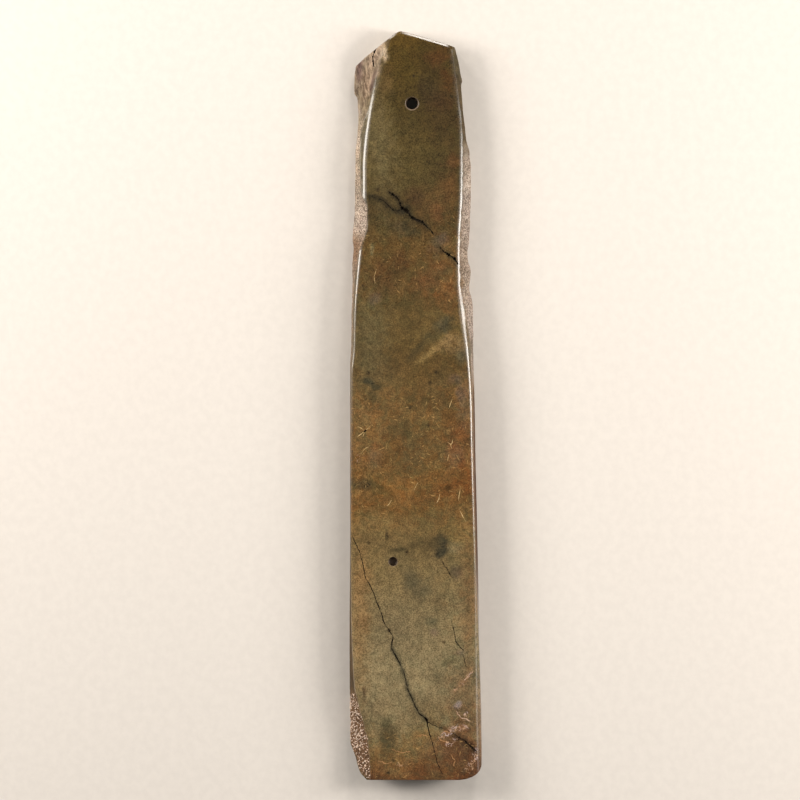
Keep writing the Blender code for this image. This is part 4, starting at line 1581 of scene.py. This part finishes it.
@dataclass(frozen=True)
class Painter:
    """Works out the stone's colours and surface kinds at each point, and stores them on the mesh.

    Places are given in millimetres, as (across, station, height) rows.
    """

    form: BladeForm
    fillet_share: float = 0.45
    depth: float = 0.877
    break_end: float = 44.0
    break_fade: float = 8.0
    grit_end: float = 318.0
    grit_fade: float = 18.0

    def masks(self, points: Array) -> tuple[Array, Array, Array, Array]:
        """Where the raw skin, the break and the sides lie.

        Args:
            points: The places.

        Returns:
            Shares of raw skin, of break, of any flank, and of the back at each place.
        """
        across, station, height = points.T
        ragged = wobble(points, 3.0, 1.0)
        ends = station + 3 * ragged + 6 * wobble(points, 10.0, 9.0) + 0.7 * (height - 9)
        skin, flank = np.zeros(len(points)), np.zeros(len(points))
        for side in (self.form.left, self.form.right):
            outside = np.where(across * side.side.value > 0, np.abs(across) - side.reach(station)[0], -9.0)
            below = self.form.edge_height(station) - height
            clear = np.where(below > 0.3, np.maximum(outside, below * 0.5), outside) + side.creep.at(station)
            clear -= self.fillet_share * side.fillet.at(station)
            on_flank = ease(clear + 0.2 * ragged, 0.1, 0.7) * (outside > -2.5)
            flank = np.maximum(flank, on_flank)
            # The skin's border towards the butt is ragged, and the break's border keeps nearer to its line.
            rough = side.roughness.at(np.where(ends < 60, 0.5 * (ends + station), ends))
            skin = np.maximum(skin, on_flank * rough)
        end = ease(self.form.finish(across) - station, 0.2, 1.0)
        under = ease(height - self.form.back_height(station), 0.9, 0.2)
        skin = skin * end * (1 - under)
        broken = skin * ease(station + 2.5 * ragged, self.break_end, self.break_end - self.break_fade)
        return skin - broken, broken, flank, under

    def tones(self, points: Array, flank: Array, under: Array) -> Array:
        """The stone's colours, with painted light in them: a brightening towards the cutting edge and a
        sheen on the right flank near that edge.

        Args:
            points: The places.
            flank: Share of flank at each place.
            under: Share of the flat back at each place.

        Returns:
            Colours as linear light, one row for each place.
        """
        across, station, _ = points.T
        drift = wobble(points, 14.0, 2.0)
        ragged = 0.30 * wobble(points, 3.2, 3.0) + 0.16 * wobble(points, 1.3, 4.0)

        def along(keys: Tones, at: Array) -> Array:
            """Tones at these stations."""
            lines = (Line(tuple((s, tone[channel]) for s, tone in keys)) for channel in range(3))
            return np.stack([line.at(at) for line in lines], axis=-1)

        # Base tone along the blade, with its painted brightening towards the cutting edge.
        tone = along(ALONG_TONES_AND_PAINTED_LIGHT, np.clip(station + 5 * drift, 0, LENGTH)) * (1 + 0.07 * drift)[:, None]
        # Flank tones. On the right flank near the cutting edge they hold a painted sheen.
        sides = np.where((across < 0)[:, None], along(LEFT_SKIN_TONES, station),
                         along(RIGHT_FLANK_TONES_AND_SHEEN, station))
        tone += (sides * (1 + 0.10 * wobble(points, 5.0, 5.0))[:, None] - tone) * flank[:, None]
        for stain in STAINS:
            reach = 2.2 * (stain.half_width + stain.half_length)
            near = (np.abs(across - stain.across) < 34) & (np.abs(station - stain.station) < reach)
            share = stain.share(across[near], station[near], ragged[near])[:, None]
            tone[near] += (np.array(stain.colour) - tone[near]) * share
        plain = np.array(BACK_TONE) * (1 + 0.10 * drift)[:, None]
        tone += (plain - tone) * under[:, None]
        return linear(tone * self.depth)

    def paint(self, stone: Piece) -> None:
        """Stores the stone's colours and the shares that its finish reads on its points.

        Args:
            stone: The stone, a plain mesh.
        """
        mesh = stone.data
        places = np.stack(on_blade(read(mesh.vertices, "co", 3)), axis=-1)
        across, station, height = places.T
        skin, broken, flank, under = self.masks(places)
        tone = self.tones(places, flank, under)
        bloom = np.max([b.share(across, station, 0.25 * wobble(places, 1.6, 6.0)) for b in BLOOMS], axis=0)
        shares = {
            "skin": skin,
            "broken": broken,
            "warmth": WARMTH.at(station) + 0.35 * ease(across, 4.0, 24.0),
            "grit": np.where(across < 0, ease(station, self.grit_end, self.grit_end - self.grit_fade), 1.0),
            "bloom": bloom * (height > 6.0),
            # The right side's ground flank is polished near the cutting edge, and satin further up.
            "satin": flank * np.where(across > 0, ease(station, 70.0, 115.0), 1.0) + under,
        }
        for name in ("tone", *shares):
            if name in mesh.attributes:
                mesh.attributes.remove(mesh.attributes[name])
        rgba = np.concatenate([tone, np.ones((len(tone), 1))], axis=1)
        mesh.attributes.new("tone", "FLOAT_COLOR", "POINT").data.foreach_set("color", rgba.ravel())
        for name, share in shares.items():
            mesh.attributes.new(name, "FLOAT", "POINT").data.foreach_set("value", np.clip(share, 0, 1))


@dataclass(frozen=True)
class MapLayout:
    """Sizes of the stone's flat map: a panel for each half of the length, and a strip for the ends."""

    panel_pitch: float = 0.475
    panel_height: float = 0.46
    margin: float = 0.012
    strip: float = 0.962
    strip_height: float = 0.030
    dense_reach: float = 46.0
    sparse_share: float = 0.35
    reach: float = 76.0
    bore_reach: float = 4.2
    bore_taper: float = 0.055
    butt_from: float = 328.0
    edge_to: float = 9.0
    end_pitch: float = 150.0

    def wrap(self, arc: Array) -> Array:
        """Lays distances round the section along the map, squeezed on the back.

        Args:
            arc: Signed distances from the middle of the face, in millimetres.

        Returns:
            Places on the map, from 0 to 1.
        """
        dense = np.clip(np.abs(arc), 0, self.dense_reach)
        sparse = np.clip(np.abs(arc) - self.dense_reach, 0, None) * self.sparse_share
        full = self.dense_reach + (self.reach - self.dense_reach) * self.sparse_share
        return 0.5 + np.sign(arc) * (dense + sparse) / (2 * full)

    def lay_out(self, stone: Piece, form: BladeForm) -> None:
        """Gives the stone its flat map.

        Args:
            stone: The stone, a plain mesh.
            form: The blade's form.
        """
        mesh = stone.data
        starts, totals, slots = (read(mesh.polygons, name, 1, int)
                                 for name in ("loop_start", "loop_total", "material_index"))
        face = np.repeat(np.arange(len(totals)), totals)
        corner = read(mesh.loops, "vertex_index", 1, int)
        across, station, height = (v[corner] for v in on_blade(read(mesh.vertices, "co", 3)))
        normal, slot = read(mesh.polygons, "normal", 3)[face], slots[face]
        middle = (np.add.reduceat(station, starts) / totals)[face]

        # A hollow's wall is drawn in towards its middle with depth, so that it has a place on the map.
        for drilling in DRILLINGS:
            dx, dy = across - drilling.across, station - drilling.station
            inside = (slot == drilling.finish.slot) & (np.hypot(dx, dy) < self.bore_reach)
            kept = np.clip(1 - self.bore_taper * (form.face_height(station, across) - height), 0.1, 1)
            across = np.where(inside, drilling.across + dx * kept, across)
            station = np.where(inside, drilling.station + dy * kept, station)
            height = np.where(inside, form.face_height(station, across), height)
            normal = np.where(inside[:, None], (0.0, 0.0, 1.0), normal)

        thick, top = form.thickness.at(station), form.edge_height(station)
        side = np.where((np.add.reduceat(across, starts) / totals)[face] < 0, -1.0, 1.0)
        left, right = (flank.across(station, np.zeros(len(station)), top, thick)
                       for flank in (form.left, form.right))
        low = np.where(side < 0, left, right)
        back = normal[:, 2] < -0.7
        arc = np.where(back, side * (thick + 2 * low) - across, across + side * (thick - height))
        upper = middle > LENGTH / 2
        u = self.margin + (1 - 2 * self.margin) * (station - upper * LENGTH / 2) / (LENGTH / 2 + 1)
        v = self.margin + self.panel_pitch * upper + self.panel_height * self.wrap(arc)
        butt = (normal[:, 1] > 0.4) & (middle > self.butt_from) & (slot == 0)
        edge = (normal[:, 1] < -0.6) & (middle < self.edge_to) & (slot == 0)
        u = np.where(butt | edge, 0.25 + 0.5 * edge + across / self.end_pitch, u)
        v = np.where(butt | edge, self.strip + self.strip_height * height / THICKNESS, v)
        layer = mesh.uv_layers.new(name=UV_NAME)
        layer.uv.foreach_set("vector", np.stack([u, v], axis=-1).ravel())
        mesh.uv_layers.active = layer


@dataclass(frozen=True)
class Chisel:
    """The whole stone: its form, raw relief, borings and cracks, colours and flat map."""

    form: BladeForm
    spacing: Spacing = Spacing()
    sharp_angle: float = math.radians(42)

    def build(self) -> list[Piece]:
        """Builds the stone and the crystals of its break.

        Returns:
            The finished pieces.
        """
        materials = [finish.value.build() for finish in Finish]
        painter = Painter(self.form)
        stone = StoneMesh(self.form, self.spacing).build()
        painter.paint(stone)
        RawRelief(materials[0]).put_on(stone)
        crystals = add_object("chisel_crystals", stone.data.copy())
        crystals.data.name = crystals.name
        Crystals(CRYSTAL.build()).put_on(crystals)
        stone.data.materials.clear()
        for material in materials:
            stone.data.materials.append(material)
        for drilling in DRILLINGS:
            carve(stone, drilling.cut(), drilling.finish)
        for seam in (*OPEN_CRACKS, *HAIR_CRACKS, *VEINS):
            carve(stone, SeamCutter(seam, materials[seam.finish.slot]).cut(), seam.finish)
        painter.paint(stone)
        MapLayout().lay_out(stone, self.form)
        stone.data.shade_smooth()
        stone.data.set_sharp_from_angle(angle=self.sharp_angle)
        return [stone, crystals]


@dataclass(frozen=True)
class Softbox:
    """One soft light: its place and size in metres, its strength in watts, and what it points at."""

    name: str
    place: tuple[float, float, float]
    size: tuple[float, float]
    power: float
    aim: tuple[float, float, float] = (0.0, 0.0, 0.0)
    colour: Colour = (1.0, 0.94, 0.875)

    def build(self) -> Piece:
        """Makes the light.

        Returns:
            Its object.
        """
        data = bpy.data.lights.new(self.name, "AREA")
        data.shape = "RECTANGLE"
        data.size, data.size_y = self.size
        data.energy = self.power
        data.color = self.colour
        obj = add_object(self.name, data)
        obj.location = self.place
        obj.rotation_mode = "QUATERNION"
        obj.rotation_quaternion = (Vector(self.aim) - Vector(self.place)).to_track_quat("-Z", "Y")
        return obj


@dataclass(frozen=True)
class Studio:
    """A pale floor, soft lights, a plain grey surround and a camera looking straight down."""

    floor_size: float = 6.0
    floor_gap: float = 0.0001
    floor_colours: tuple[Colour, Colour] = ((0.60, 0.568, 0.53), (0.63, 0.597, 0.556))
    fibre: Pattern = Pattern(4.0, 3.0, 0.6, seed=1.0)
    surround: float = 0.10
    surround_colour: Colour = (1.0, 0.98, 0.95)
    lens: float = 200.0
    camera_across: float = -7.3
    camera_along: float = 2.57
    camera_height: float = 2.089
    lights: tuple[Softbox, ...] = (
        Softbox("left_strip", (-0.85, 0.20, 0.46), (0.27, 0.45), 7.0),
        Softbox("right_strip", (0.85, 0.065, 0.46), (0.22, 0.50), 8.4),
        Softbox("left_fade", (-0.80, 0.425, 0.46), (0.20, 0.45), 4.0),
        Softbox("right_fade", (0.80, 0.31, 0.46), (0.24, 0.45), 1.8),
        Softbox("low_glow", (0.76, -0.14, 0.62), (0.26, 0.40), 0.9),
        Softbox("left_glow", (-0.62, 0.19, 1.00), (0.30, 0.35), 0.7),
        Softbox("right_glow", (0.62, 0.08, 1.00), (0.30, 0.35), 0.7),
        Softbox("butt_strip", (0.32, 1.20, 0.60), (0.28, 0.45), 8.6, (0.0, 0.17, 0.0)),
        Softbox("tip_strip", (-0.62, 0.95, 0.42), (0.22, 0.45), 4.4, (0.0, 0.17, 0.0)),
        Softbox("edge_light", (0.2, -1.5, 0.8), (1.2, 0.6), 0.8),
    )

    def build(self) -> Piece:
        """Makes the studio.

        Returns:
            Its floor.
        """
        scene = bpy.context.scene
        scene.view_settings.view_transform = "Standard"
        scene.world = bpy.data.worlds.new("surround")
        scene.world.use_nodes = True
        background = scene.world.node_tree.nodes["Background"]
        background.inputs["Color"].default_value = (*self.surround_colour, 1.0)
        background.inputs["Strength"].default_value = self.surround
        for light in self.lights:
            light.build()
        scene.camera = add_object("camera", bpy.data.cameras.new("camera"))
        scene.camera.data.lens = self.lens
        scene.camera.location = (self.camera_across * MM, self.camera_along * MM, self.camera_height)
        return self.build_floor()

    def build_floor(self) -> Piece:
        """Makes the plain pale floor.

        Returns:
            Its object.
        """
        half = self.floor_size / 2
        mesh = bpy.data.meshes.new("floor")
        corners = [(-half, -half), (half, -half), (half, half), (-half, half)]
        mesh.from_pydata([(x, y, -self.floor_gap) for x, y in corners], [], [(0, 1, 2, 3)])
        material, t, shader = new_material("floor_paper")
        fibre = t.ramp(t.noise(t.add("ShaderNodeTexCoord", output="Object"), self.fibre), 0.3, 0.7)
        t.join(t.mix(fibre, *self.floor_colours), shader.inputs["Base Color"])
        shader.inputs["Roughness"].default_value = 0.9
        mesh.materials.append(material)
        return add_object("floor", mesh)


def main() -> None:
    """Builds the chisel and its studio, and declares each piece to the frame."""
    logging.basicConfig(level=logging.INFO, format="%(name)s: %(message)s")
    for piece in Chisel(FORM).build():
        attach(piece, BODY)
        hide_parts(NODE)
        piece.data.calc_loop_triangles()
        LOG.info("%s: %d triangles", piece.name, len(piece.data.loop_triangles))
    Studio().build()
    bpy.context.view_layer.update()


if __name__ == "__main__":
    main()
